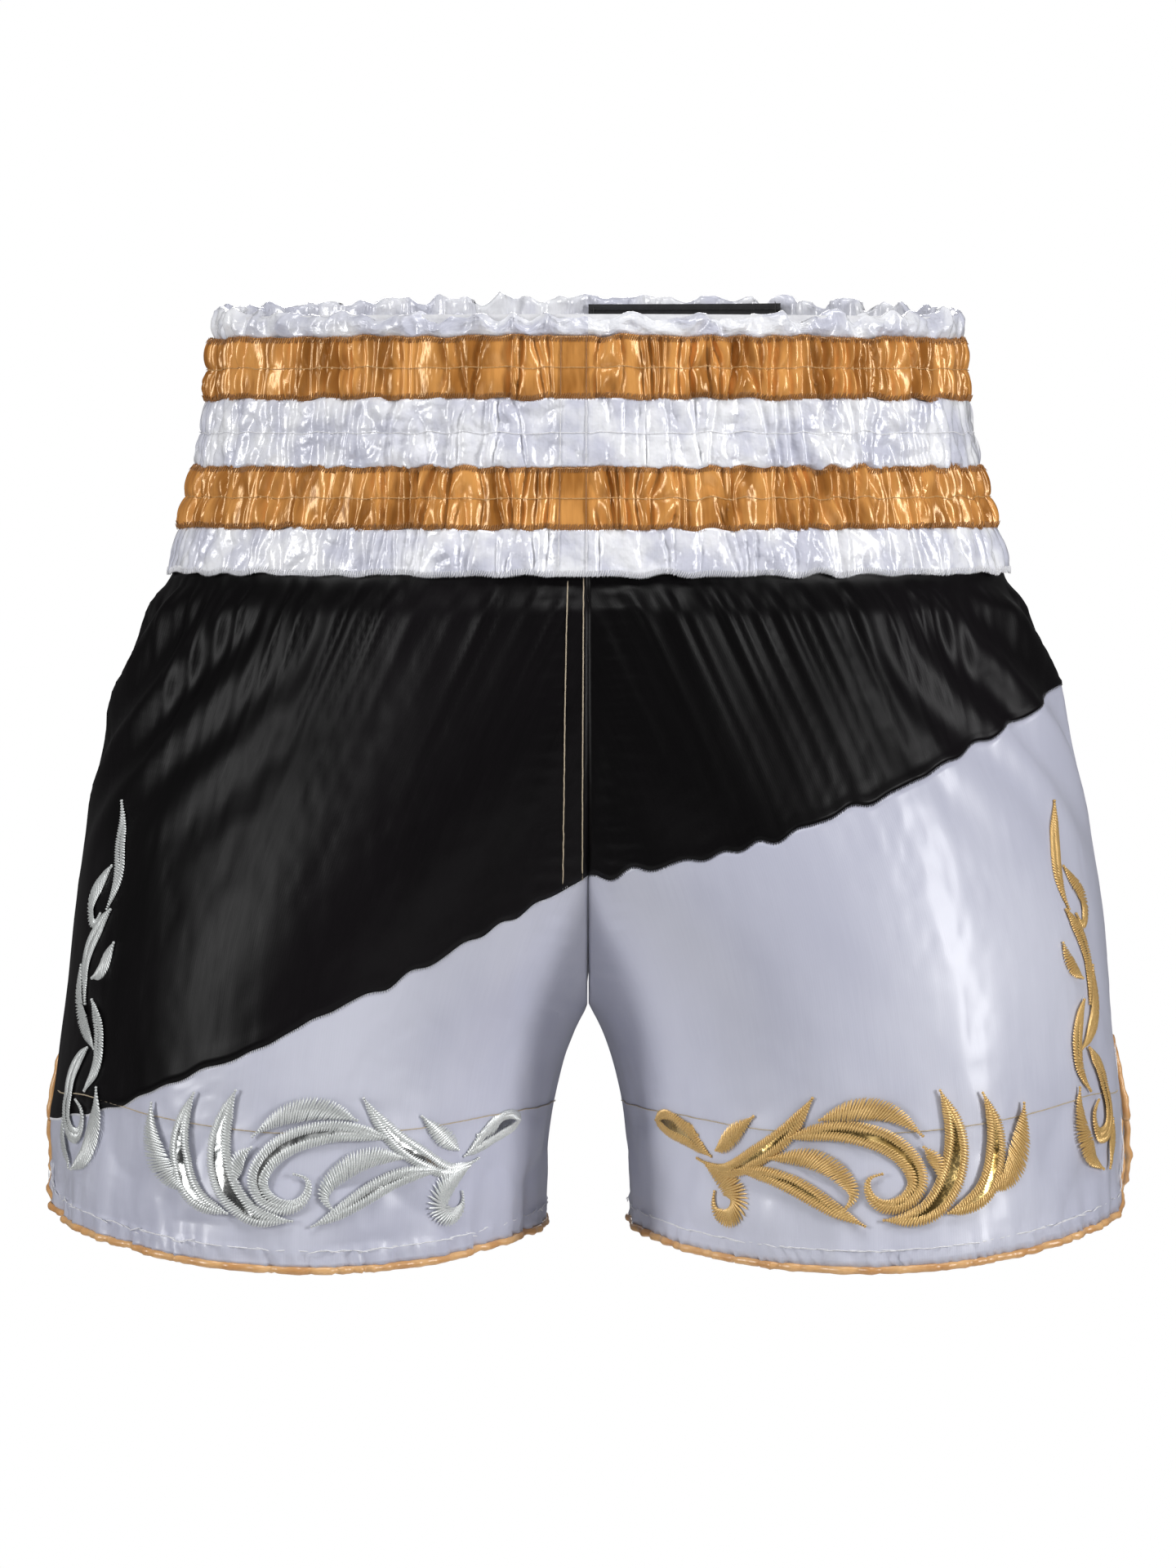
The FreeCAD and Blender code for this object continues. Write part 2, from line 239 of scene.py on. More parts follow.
# -------------------------------------------------------------------------------------------------- finishes


@dataclass(frozen=True)
class Satin:
    """Satin: long floats that catch the light, a fine weave and soft creases.

    The warp runs down the cloth. Crease is the height of the soft creases, and stretch says how much longer
    they are down the cloth than across it. Shine is the strength of the gloss and tint its colour.
    """

    name: str
    light: Colour
    shade: Colour
    roughness: float
    coat: float
    sheen: float
    crease: float
    crease_scale: float
    stretch: float = 1.0
    shine: float = 0.55
    tint: Colour = (1.0, 1.0, 1.0)

    def build(self) -> bpy.types.Material:
        """Makes the material."""
        s = Surface(self.name)
        cut = s.place()
        down = s.place((1.0, 1.0 / self.stretch, 1.0))
        cloud = s.grain(down, self.crease_scale * 0.45, 3.0)
        slub = s.grain(s.place((1.0, 0.06, 1.0)), 900.0, 2.0)
        # Partly painted shade: random streaks down the cloth mix the shade colour into the light one. On the gold and
        # the white band satin the shade colour is painted shade that stands in for the shade of folds and crumples. On
        # the other satins it is the cloth's own uneven tone.
        tone = (cloud.between(0.32, 0.68) * 0.75 + slub * 0.25).between(0.05, 0.95)
        creases = s.grain(down, self.crease_scale, 3.0, 0.45)
        floats = s.node(
            "ShaderNodeTexWave",
            {"wave_type": "BANDS", "bands_direction": "X"},
            {"Vector": cut, "Scale": 330.0, "Distortion": 1.5, "Detail": 1.0, "Detail Scale": 60.0},
            output="Fac",
        )
        relief = s.bump(creases, self.crease, 1.0)
        relief = s.bump(slub * 0.6 + floats * 0.4, 0.00005, 0.35, relief)
        s.set(
            Base_Color=s.mix(tone, self.shade, self.light),
            Roughness=slub * 0.08 + (self.roughness - 0.04),
            Normal=relief,
            Specular_IOR_Level=self.shine,
            Specular_Tint=self.tint,
            Sheen_Weight=self.sheen,
            Sheen_Roughness=0.4,
            Coat_Weight=self.coat,
            Coat_Roughness=0.16,
        )
        return s.material


@dataclass(frozen=True)
class Thread:
    """Spun or metal-wrapped thread with a fine twist."""

    name: str
    light: Colour
    shade: Colour
    metallic: float
    roughness: float
    twist: float = 2600.0

    def build(self) -> bpy.types.Material:
        """Makes the material."""
        s = Surface(self.name)
        spot = s.place(cloth=False)
        fleck = s.grain(spot, self.twist, 2.0, 0.6)
        drift = s.grain(spot, 60.0, 2.0)
        tone = fleck.between(0.3, 0.7) * 0.6 + drift * 0.4
        s.set(
            Base_Color=s.mix(tone, self.shade, self.light),
            Roughness=fleck * 0.2 + (self.roughness - 0.1),
            Metallic=self.metallic,
            Normal=s.bump(fleck, 0.00008, 0.6),
            Specular_IOR_Level=0.5,
        )
        return s.material


@dataclass(frozen=True)
class Foil:
    """Metallised film on cloth, with faint waves and scuffs."""

    name: str
    light: Colour
    shade: Colour
    roughness: float

    def build(self) -> bpy.types.Material:
        """Makes the material."""
        s = Surface(self.name)
        spot = s.place(cloth=False)
        wave = s.grain(spot, 75.0, 3.0, 0.55)
        scuff = s.grain(spot, 900.0, 3.0, 0.7)
        s.set(
            Base_Color=s.mix(wave.between(0.35, 0.65), self.shade, self.light),
            Roughness=scuff.between(0.45, 0.75) * 0.22 + self.roughness,
            Metallic=0.95,
            Normal=s.bump(scuff, 0.00004, 0.5, s.bump(wave, 0.0011, 0.8)),
        )
        return s.material


@dataclass(frozen=True)
class PlainWeave:
    """Matt woven cloth or ribbed elastic, for what faces the wearer."""

    name: str
    light: Colour
    shade: Colour
    threads: float
    rib: float = 0.0

    def build(self) -> bpy.types.Material:
        """Makes the material."""
        s = Surface(self.name)
        spot = s.place(cloth=False)
        mottle = s.grain(spot, 220.0, 3.0, 0.6)
        lint = s.grain(spot, self.threads, 2.0, 0.5)
        height = lint
        if self.rib:
            settings = {"wave_type": "BANDS", "bands_direction": "Z"}
            ribs = s.node("ShaderNodeTexWave", settings, {"Vector": spot, "Scale": self.rib}, output="Fac")
            height = lint * 0.4 + ribs * 0.6
        s.set(
            Base_Color=s.mix(mottle.between(0.3, 0.7) * 0.6 + lint * 0.4, self.shade, self.light),
            Roughness=lint * 0.1 + 0.68,
            Normal=s.bump(height, 0.00015, 0.6),
            Specular_IOR_Level=0.3,
            Sheen_Weight=0.25,
            Sheen_Roughness=0.5,
        )
        return s.material


class Finish(Enum):
    """Every finish on the shorts."""

    BLACK_SATIN = Satin(
        "black_satin_weave", (0.0045, 0.0035, 0.0045), (0.0015, 0.0012, 0.0015), 0.40, 0.0, 0.0, 0.0006, 30.0, 4.0, 0.13
    )
    WHITE_SATIN = Satin(
        "white_satin_weave", (0.62, 0.63, 0.73), (0.50, 0.51, 0.62), 0.38, 0.18, 0.05, 0.0012, 22.0, 1.4
    )
    # Its shade colour is painted shade for the crumples, mixed in at random.
    BAND_SATIN = Satin(
        "white_band_satin_weave", (0.96, 0.965, 1.0), (0.64, 0.65, 0.76), 0.20, 0.50, 0.03, 0.0024, 95.0, 0.9
    )
    # Its shade colour is painted shade for the folds, mixed in at random.
    GOLD_SATIN = Satin(
        "gold_satin_weave", (0.80, 0.37, 0.10), (0.36, 0.135, 0.024), 0.23, 0.12, 0.0, 0.0010, 150.0, 2.4, 1.0,
        (1.0, 0.72, 0.42)
    )
    BINDING_SATIN = Satin(
        "gold_binding_satin", (0.78, 0.46, 0.20), (0.60, 0.30, 0.11), 0.34, 0.25, 0.1, 0.0005, 160.0, 1.0
    )
    FACING = PlainWeave("white_facing_cloth", (0.82, 0.83, 0.88), (0.70, 0.71, 0.78), 1400.0)
    LINING = PlainWeave("white_lining_cloth", (0.84, 0.84, 0.86), (0.70, 0.70, 0.74), 1200.0)
    ELASTIC = PlainWeave("ribbed_elastic", (0.86, 0.86, 0.85), (0.70, 0.70, 0.68), 900.0, 180.0)
    BLACK_CLOTH = PlainWeave("black_cloth", (0.020, 0.020, 0.022), (0.009, 0.009, 0.010), 1300.0)
    SILVER_THREAD = Thread("silver_thread", (0.84, 0.86, 0.85), (0.48, 0.50, 0.50), 0.35, 0.34)
    GOLD_THREAD = Thread("gold_thread", (0.86, 0.60, 0.25), (0.50, 0.29, 0.09), 0.35, 0.34)
    SILVER_FOIL = Foil("silver_foil", (0.62, 0.63, 0.62), (0.26, 0.27, 0.27), 0.16)
    GOLD_FOIL = Foil("gold_foil", (0.70, 0.50, 0.20), (0.32, 0.20, 0.06), 0.18)
    WHITE_THREAD = Thread("white_thread", (0.88, 0.88, 0.90), (0.66, 0.66, 0.70), 0.0, 0.5)
    CREAM_THREAD = Thread("cream_thread", (0.62, 0.52, 0.38), (0.36, 0.29, 0.20), 0.0, 0.55)
    BRONZE_THREAD = Thread("bronze_thread", (0.42, 0.20, 0.06), (0.24, 0.10, 0.03), 0.0, 0.5)
    PALE_GOLD_THREAD = Thread("pale_gold_thread", (0.72, 0.43, 0.17), (0.45, 0.23, 0.07), 0.0, 0.5)
    BLACK_THREAD = Thread("black_thread", (0.02, 0.02, 0.02), (0.008, 0.008, 0.008), 0.0, 0.5)

    def material(self) -> bpy.types.Material:
        """The finish's material, made the first time it is asked for."""
        return bpy.data.materials.get(self.value.name) or self.value.build()


# -------------------------------------------------------------------------------------------- shape and mesh


def smooth(value: np.ndarray | float, low: float, high: float) -> np.ndarray:
    """0 at low and 1 at high, smooth in between, and the other way when high is the lower."""
    t = np.clip((np.asarray(value, float) - low) / (high - low), 0, 1)
    return t * t * (3 - 2 * t)


class Curve:
    """A natural cubic through points, read at any place."""

    def __init__(self, places: list[float], values: list[float]) -> None:
        """Works out the second derivatives."""
        self.x, self.y = np.array(places, float), np.array(values, float)
        n, h = len(places), np.diff(self.x)
        matrix, right = np.eye(n), np.zeros(n)
        for i in range(1, n - 1):
            matrix[i, i - 1 : i + 2] = h[i - 1], 2 * (h[i - 1] + h[i]), h[i]
            right[i] = 6 * ((self.y[i + 1] - self.y[i]) / h[i] - (self.y[i] - self.y[i - 1]) / h[i - 1])
        self.m = np.linalg.solve(matrix, right)

    def __call__(self, place: np.ndarray | float) -> np.ndarray:
        """The curve's value there."""
        x = np.clip(place, self.x[0], self.x[-1])
        i = np.clip(np.searchsorted(self.x, x) - 1, 0, len(self.x) - 2)
        h, a, b = self.x[i + 1] - self.x[i], self.x[i + 1] - x, x - self.x[i]
        bend = self.m[i] * a**3 + self.m[i + 1] * b**3
        return (
            bend / (6 * h)
            + (self.y[i] / h - self.m[i] * h / 6) * a
            + (self.y[i + 1] / h - self.m[i + 1] * h / 6) * b
        )


class Ripple:
    """Smooth random waves along a line, the same on every run."""

    WAVES = 24

    def __init__(self, seed: int, length: float, shortest: float, longest: float, closed: bool = False) -> None:
        """Draws the waves.

        Args:
            seed: What the draws start from.
            length: The line's length.
            shortest: The shortest wave.
            longest: The longest wave.
            closed: Whether the line meets itself, so that whole waves fit.
        """
        rng = np.random.default_rng(seed)
        counts = rng.uniform(length / longest, length / shortest, self.WAVES)
        self.counts = (np.round(counts) if closed else counts) * 2 * math.pi / length
        self.phases = rng.uniform(0, 2 * math.pi, self.WAVES)
        self.heights = rng.normal(0, 1, self.WAVES) / math.sqrt(self.WAVES / 2)

    def __call__(self, place: np.ndarray) -> np.ndarray:
        """The height there, about 1 at most places."""
        place = np.asarray(place, float)
        waves = np.cos(place[..., None] * self.counts + self.phases) * self.heights
        return waves.sum(-1)


def cloud(points: np.ndarray, scale: float, seed: float = 0.0, octaves: int = 2) -> np.ndarray:
    """Smooth noise at points in space, from about -1 to 1."""
    flat = points.reshape(-1, 3) * scale + seed
    found = [noise.fractal(Vector(p), 0.9, 2.1, octaves) for p in flat]
    return np.array(found).reshape(points.shape[:-1])


def ridges(points: np.ndarray, scale: float, seed: float = 0.0) -> np.ndarray:
    """Noise with creases, from about 0 at a crease to 1 between creases."""
    flat = points.reshape(-1, 3) * scale + seed
    found = [abs(noise.noise(Vector(p))) for p in flat]
    return np.clip(np.array(found).reshape(points.shape[:-1]) * 2.4, 0, 1) ** 0.7


def normals_of(grid: np.ndarray, closed: bool, flip: bool) -> np.ndarray:
    """The outward direction at each point of a grid whose rows run down the cloth."""
    down = np.gradient(grid, axis=0)
    if closed:
        across = np.roll(grid, -1, 1) - np.roll(grid, 1, 1)
    else:
        across = np.gradient(grid, axis=1)
    out = np.cross(down, across)
    if flip:
        out = -out
    return out / np.maximum(np.linalg.norm(out, axis=-1, keepdims=True), 1e-12)


def area_of(grid: np.ndarray) -> float:
    """The area of a grid of points, in square metres."""
    a, b, c, d = grid[:-1, :-1], grid[1:, :-1], grid[1:, 1:], grid[:-1, 1:]
    first = np.linalg.norm(np.cross(b - a, c - a), axis=-1)
    second = np.linalg.norm(np.cross(c - a, d - a), axis=-1)
    return float((first + second).sum() / 2)


def cut_area(grid: np.ndarray, wide: float, tall: float) -> float:
    """The area of a cut cloth, from its hanging shape, kept within the rectangle round the cut."""
    area = min(area_of(grid) * 0.99, wide * tall)
    return max(area, 0.31 * wide * tall)


def quads_of(rows: int, columns: int, flip: bool = False) -> list[list[int]]:
    """The corners of each quad of a grid.

    Args:
        rows: How many rows of points it has.
        columns: How many points each row has.
        flip: Whether the quads turn over.

    Returns:
        Four point numbers for each quad, row by row.
    """
    index = np.arange(rows * columns).reshape(rows, columns)
    corners = [index[:-1, :-1], index[1:, :-1], index[1:, 1:], index[:-1, 1:]]
    if flip:
        corners.reverse()
    return np.stack([c.ravel() for c in corners], 1).tolist()


@dataclass
class Mesh:
    """A mesh in plain arrays, ready to become an object."""

    points: np.ndarray
    faces: list[tuple[int, ...]]
    cut: np.ndarray | None = None

    @classmethod
    def from_grid(cls, grid: np.ndarray, cut: np.ndarray, closed: bool = False, flip: bool = False) -> Mesh:
        """Quads between the rows and columns of a grid.

        Args:
            grid: Rows by columns of points.
            cut: The same of places on the flat cloth.
            closed: Whether the last column meets the first.
            flip: Whether the faces turn over.

        Returns:
            The mesh. A closed one repeats its first column, so that the cut has a place for both ends.
        """
        if closed:
            grid = np.concatenate([grid, grid[:, :1]], 1)
            if cut.shape[1] < grid.shape[1]:
                last = cut[:, -1:] + (cut[:, -1:] - cut[:, -2:-1])
                cut = np.concatenate([cut, last], 1)
        return cls(grid.reshape(-1, 3), quads_of(*grid.shape[:2], flip), cut.reshape(-1, 2))

    def piece(self, name: str, finish: Finish, merge: bool = False) -> bpy.types.Object:
        """Makes the object, smooth shaded, with its cut as its UV map."""
        mesh = bpy.data.meshes.new(name)
        mesh.from_pydata(self.points.tolist(), [], self.faces)
        if self.cut is not None:
            layer = mesh.uv_layers.new(name="cut")
            loops = np.zeros(len(mesh.loops), np.int32)
            mesh.loops.foreach_get("vertex_index", loops)
            layer.data.foreach_set("uv", self.cut[loops].astype(np.float32).ravel())
        mesh.polygons.foreach_set("use_smooth", [True] * len(mesh.polygons))
        mesh.materials.append(finish.material())
        thing = bpy.data.objects.new(name, mesh)
        bpy.context.scene.collection.objects.link(thing)
        if merge:
            weld(thing)
        return thing


def weld(thing: bpy.types.Object, distance: float = 1e-6) -> None:
    """Merges points that lie on each other."""
    work = bmesh.new()
    work.from_mesh(thing.data)
    bmesh.ops.remove_doubles(work, verts=work.verts, dist=distance)
    work.to_mesh(thing.data)
    work.free()


def thicken(thing: bpy.types.Object, thickness: float) -> None:
    """Gives a sheet its thickness, inwards from the face that shows."""
    solid = thing.modifiers.new("thickness", "SOLIDIFY")
    solid.thickness = thickness
    solid.offset = -1
    solid.use_even_offset = False
    bpy.context.view_layer.update()
    evaluated = thing.evaluated_get(bpy.context.evaluated_depsgraph_get())
    made = bpy.data.meshes.new_from_object(evaluated)
    thing.modifiers.clear()
    old, thing.data = thing.data, made
    made.name = thing.name
    bpy.data.meshes.remove(old)


def rolled(path: np.ndarray, side: np.ndarray, out: np.ndarray, wide: np.ndarray, high: np.ndarray) -> Mesh:
    """A strip rolled round a path into an oval that is open only where the cloth goes in.

    Args:
        path: The points of its middle.
        side: The direction away from the cloth at each point.
        out: The outward direction at each point.
        wide: Half its width at each point.
        high: Half its height at each point.

    Returns:
        The mesh, with the distance round and along it as its cut, facing outwards.
    """
    half_round = math.radians(172)
    round_it = np.linspace(half_round, -half_round, 13)
    steps = np.linalg.norm(np.diff(path, axis=0), axis=1)
    run = np.concatenate([[0], np.cumsum(steps)])
    ring = (
        path[:, None]
        + side[:, None] * (wide[:, None, None] * np.cos(round_it)[None, :, None])
        + out[:, None] * (high[:, None, None] * np.sin(round_it)[None, :, None])
    )
    cut = np.stack(np.broadcast_arrays(round_it[None] * 0.0015, run[:, None]), -1)
    facing = normals_of(ring, closed=False, flip=False)
    inwards = float(((ring - path[:, None]) * facing).sum()) < 0
    return Mesh.from_grid(ring, cut, flip=inwards)


def ride(thing: bpy.types.Object, slot: str, *nodes: str) -> bpy.types.Object:
    """Fixes a piece to the shorts and hides the frame's nodes that it stands for."""
    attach(thing, "root")
    if nodes:
        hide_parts(*nodes)
    return thing


# ---------------------------------------------------------------------------------------- ovals of the shape


@dataclass
class Oval:
    """Level ovals of four arcs that meet at 45 degrees, for arrays of levels at once."""

    centre: np.ndarray
    half_width: np.ndarray
    half_depth: np.ndarray

    def __post_init__(self) -> None:
        """Works out the arcs."""
        self.front = self.half_width * (1 + 1 / ROOT_TWO) - self.half_depth / ROOT_TWO
        self.side = self.half_depth * ROOT_TWO - self.front * (ROOT_TWO - 1)
        self.reach = self.half_width - self.side
        self.rise = self.half_depth - self.front

    def inner_angle(self) -> np.ndarray:
        """The angle from the outer side at which the oval meets the middle plane, or half a turn."""
        flat = -self.centre / self.front
        near = -(self.centre - self.reach) / self.side
        cosine = np.where(flat >= -1 / ROOT_TWO, flat, np.clip(near, -1, 1))
        return np.arccos(np.clip(cosine, -1, 1))

    def length_to(self, angle: np.ndarray) -> np.ndarray:
        """The distance round from the outer side to an angle of up to half a turn."""
        quarter = math.pi / 4
        first = np.minimum(angle, quarter) * self.side
        second = np.clip(angle - quarter, 0, 2 * quarter) * self.front
        return first + second + np.maximum(angle - 3 * quarter, 0) * self.side

    def angle_at(self, along: np.ndarray) -> np.ndarray:
        """The angle at a distance round from the outer side."""
        quarter = math.pi / 4
        first, second = self.side * quarter, self.front * 2 * quarter
        return (
            np.minimum(along, first) / self.side
            + np.clip(along - first, 0, second) / self.front
            + np.maximum(along - first - second, 0) / self.side
        )

    def point(self, angle: np.ndarray) -> tuple[np.ndarray, np.ndarray]:
        """How far out and how far forward the oval is at an angle of up to half a turn."""
        quarter = math.pi / 4
        outer, inner = angle < quarter, angle > 3 * quarter
        radius = np.where(outer | inner, self.side, self.front)
        middle = self.centre + np.where(outer, self.reach, np.where(inner, -self.reach, 0))
        base = np.where(outer | inner, 0, self.rise)
        return middle + radius * np.cos(angle), base + radius * np.sin(angle)


@dataclass
class WornShape:
    """The skins that the frame's cloth follows, level by level, tied to the frame's own boxes."""

    band_drops: tuple[float, ...] = (0, 48, 100)
    band_widths: tuple[float, ...] = (143.5, 148, 161.5)
    band_depths: tuple[float, ...] = (102, 103, 108)
    drops: tuple[float, ...] = (100, 140, 170, 200, 236, 265, 292, 366)
    widths: tuple[float, ...] = (161.5, 177, 185.5, 191.5, 196.5, 199, 201.5, 204)
    depths: tuple[float, ...] = (108, 114, 117, 118.5, 118.5, 117.5, 117, 117)
    centres: tuple[float, ...] = (0, 10, 31, 57, 85.5, 99.5, 106, 110.5)
    crotch: float = 0.265

    def __post_init__(self) -> None:
        """Turns the levels into curves, in metres."""
        self.foot = -float(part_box("waistband_foot")[0].z)
        self.hem = -float(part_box("front_left_hem_binding")[0].z)
        drops = [d * MM for d in self.drops]
        drops[0] = self.foot
        self.width = Curve(drops, [w * MM for w in self.widths])
        self.depth = Curve(drops, [d * MM for d in self.depths])
        self.centre = Curve(drops, [c * MM for c in self.centres])
        levels = [d * MM for d in self.band_drops]
        self.band_width = Curve(levels, [w * MM for w in self.band_widths])
        self.band_depth = Curve(levels, [d * MM for d in self.band_depths])

    def leg(self, drop: np.ndarray, inset: float | np.ndarray = 0.0) -> Oval:
        """The left leg's oval at a drop."""
        centre = self.centre(drop)
        return Oval(centre, self.width(drop) - centre - inset, self.depth(drop) - inset)

    def band(self, drop: np.ndarray, inset: float | np.ndarray = 0.0) -> Oval:
        """The waistband's oval at a drop."""
        return Oval(np.zeros_like(drop), self.band_width(drop) - inset, self.band_depth(drop) - inset)


# ------------------------------------------------------------------------------------- threads along a path


class ThreadTree:
    """The node tree that lays short threads along paths: running stitches, overcasting and satin stitch.

    The paths are loose edges with an "outward" direction and a "width" at each point. A thread's length is
    its path's width times Length. Turn is the angle between a thread and its path.
    """

    INPUTS = {
        "Pitch": 0.003,
        "Length": 1.0,
        "Thickness": 0.0002,
        "Arch": 0.35,
        "Turn": 0.0,
        "Wander": 0.05,
        "Lift": 0.0,
    }

    def __init__(self) -> None:
        """Builds the tree."""
        self.group = bpy.data.node_groups.new("threads_along_paths", "GeometryNodeTree")
        face = self.group.interface
        face.new_socket("Geometry", in_out="INPUT", socket_type="NodeSocketGeometry")
        self.ids: dict[str, str] = {}
        for name, value in self.INPUTS.items():
            socket = face.new_socket(name, in_out="INPUT", socket_type="NodeSocketFloat")
            socket.default_value = value
            self.ids[name] = socket.identifier
        for name, kind in (("Seed", "NodeSocketInt"), ("Material", "NodeSocketMaterial")):
            self.ids[name] = face.new_socket(name, in_out="INPUT", socket_type=kind).identifier
        face.new_socket("Geometry", in_out="OUTPUT", socket_type="NodeSocketGeometry")
        self._wire()

    def _add(self, kind: str, settings: dict[str, object] | None = None, **sockets: object) -> bpy.types.Node:
        """Adds a node and sets or links its inputs, named with underscores for spaces."""
        node = self.group.nodes.new(kind)
        for name, value in (settings or {}).items():
            setattr(node, name, value)
        for name, value in sockets.items():
            key: int | str = int(name[1:]) if name[1:].isdigit() else name.replace("_", " ")
            if isinstance(value, bpy.types.NodeSocket):
                self.group.links.new(value, node.inputs[key])
            else:
                node.inputs[key].default_value = value
        return node

    def _wire(self) -> None:
        """Links the nodes: paths to points, a thread on each, turned to lie on the cloth."""
        given = self.group.nodes.new("NodeGroupInput").outputs
        paths = self._add("GeometryNodeMeshToCurve", Mesh=given["Geometry"]).outputs[0]
        points = self._add(
            "GeometryNodeCurveToPoints", {"mode": "LENGTH"}, Curve=paths, Length=given["Pitch"]
        ).outputs
        outward = self._add(
            "GeometryNodeInputNamedAttribute", {"data_type": "FLOAT_VECTOR"}, Name="outward"
        ).outputs[0]
        width = self._add("GeometryNodeInputNamedAttribute", {"data_type": "FLOAT"}, Name="width").outputs[0]
        facing = self._add(
            "FunctionNodeAxesToRotation",
            {"primary_axis": "Z", "secondary_axis": "X"},
            s0=outward,
            s1=points["Tangent"],
        ).outputs[0]
        chance = self._add(
            "FunctionNodeRandomValue", {"data_type": "FLOAT"}, s2=-1.0, s3=1.0, Seed=given["Seed"]
        ).outputs[1]
        wander = self._add("ShaderNodeMath", {"operation": "MULTIPLY"}, s0=chance, s1=given["Wander"]).outputs[0]
        angle = self._add("ShaderNodeMath", {"operation": "ADD"}, s0=wander, s1=given["Turn"]).outputs[0]
        spin = self._add("ShaderNodeCombineXYZ", Z=angle).outputs[0]
        turned = self._add(
            "FunctionNodeRotateRotation",
            {"rotation_space": "LOCAL"},
            Rotation=facing,
            Rotate_By=self._add("FunctionNodeEulerToRotation", Euler=spin).outputs[0],
        ).outputs[0]
        long = self._add("ShaderNodeMath", {"operation": "MULTIPLY"}, s0=width, s1=given["Length"]).outputs[0]
        size = self._add("ShaderNodeCombineXYZ", X=long, Y=given["Thickness"], Z=given["Thickness"]).outputs[0]
        rise = self._add("ShaderNodeVectorMath", {"operation": "SCALE"}, s0=outward, Scale=given["Lift"]).outputs[0]
        lifted = self._add("GeometryNodeSetPosition", Geometry=points["Points"], Offset=rise).outputs[0]
        top = self._add("ShaderNodeCombineXYZ", Z=given["Arch"]).outputs[0]
        line = self._add(
            "GeometryNodeCurveQuadraticBezier",
            Resolution=4,
            Start=(-0.5, 0.0, 0.0),
            Middle=top,
            End=(0.5, 0.0, 0.0),
        ).outputs[0]
        ring = self._add("GeometryNodeCurvePrimitiveCircle", Resolution=5, Radius=1.0).outputs[0]
        strand = self._add("GeometryNodeCurveToMesh", Curve=line, Profile_Curve=ring, Fill_Caps=True).outputs[0]
        laid = self._add(
            "GeometryNodeInstanceOnPoints", Points=lifted, Instance=strand, Rotation=turned, Scale=size
        ).outputs[0]
        real = self._add("GeometryNodeRealizeInstances", Geometry=laid).outputs[0]
        soft = self._add("GeometryNodeSetShadeSmooth", Geometry=real).outputs[0]
        done = self._add("GeometryNodeSetMaterial", Geometry=soft, Material=given["Material"]).outputs[0]
        self.group.links.new(done, self.group.nodes.new("NodeGroupOutput").inputs[0])

    def lay(
        self, name: str, paths: list[Path], finish: Finish, seed: int = 1, **inputs: float
    ) -> bpy.types.Object:
        """Lays threads along paths and hands back a plain mesh.

        Args:
            name: The piece's name.
            paths: The paths, each with its outward directions and widths.
            finish: The thread's finish.
            seed: What the threads' wander starts from.
            inputs: The tree's sizes by name.

        Returns:
            The piece.
        """
        points = np.concatenate([p.points for p in paths])
        edges: list[tuple[int, int]] = []
        start = 0
        for path in paths:
            edges += [(start + i, start + i + 1) for i in range(len(path.points) - 1)]
            start += len(path.points)
        mesh = bpy.data.meshes.new(name)
        mesh.from_pydata(points.tolist(), edges, [])
        outward = mesh.attributes.new("outward", "FLOAT_VECTOR", "POINT")
        outward.data.foreach_set(
            "vector", np.concatenate([p.outward for p in paths]).astype(np.float32).ravel()
        )
        width = mesh.attributes.new("width", "FLOAT", "POINT")
        width.data.foreach_set("value", np.concatenate([p.width for p in paths]).astype(np.float32))
        source = bpy.data.objects.new(f"{name}_paths", mesh)
        bpy.context.scene.collection.objects.link(source)
        modifier = source.modifiers.new("threads", "NODES")
        modifier.node_group = self.group
        for key, value in inputs.items():
            modifier[self.ids[key]] = float(value)
        modifier[self.ids["Seed"]] = seed
        modifier[self.ids["Material"]] = finish.material()
        bpy.context.view_layer.update()
        evaluated = source.evaluated_get(bpy.context.evaluated_depsgraph_get())
        made = bpy.data.meshes.new_from_object(evaluated)
        bpy.data.objects.remove(source)
        bpy.data.meshes.remove(mesh)
        for leftover in [a.name for a in made.attributes if a.name in ("outward", "width")]:
            made.attributes.remove(made.attributes[leftover])
        made.materials.clear()
        made.materials.append(finish.material())
        made.name = name
        piece = bpy.data.objects.new(name, made)
        bpy.context.scene.collection.objects.link(piece)
        return piece


@dataclass
class Path:
    """A line on the cloth, with the outward direction and a width at each point."""

    points: np.ndarray
    outward: np.ndarray
    width: np.ndarray

    @classmethod
    def even(cls, points: np.ndarray, outward: np.ndarray, width: float = 1.0) -> Path:
        """A path of one width."""
        return cls(points, outward, np.full(len(points), width))


class Stitch(Enum):
    """Kinds of stitching, each with the thread tree's inputs."""

    TOPSTITCH = {"Pitch": 0.0031, "Length": 0.0025, "Thickness": 0.00022, "Arch": 1.1, "Wander": 0.04}
    GATHER = {"Pitch": 0.0024, "Length": 0.0019, "Thickness": 0.00018, "Arch": 1.2, "Wander": 0.08}
    OVERCAST = {"Pitch": 0.00085, "Length": 0.0011, "Thickness": 0.00018, "Arch": 1.6, "Turn": 1.25, "Wander": 0.2}
    SEAM = {"Pitch": 0.0009, "Length": 0.0008, "Thickness": 0.00015, "Arch": 1.4, "Turn": 1.25, "Wander": 0.25}
    SATIN = {"Pitch": 0.00105, "Length": 1.0, "Thickness": 0.00050, "Arch": 1.7, "Turn": 1.12, "Wander": 0.06}


# ------------------------------------------------------------------------------------------------- waistband


# How far the edge of a strip runs on under the strip beside it.
TUCK = 0.0016


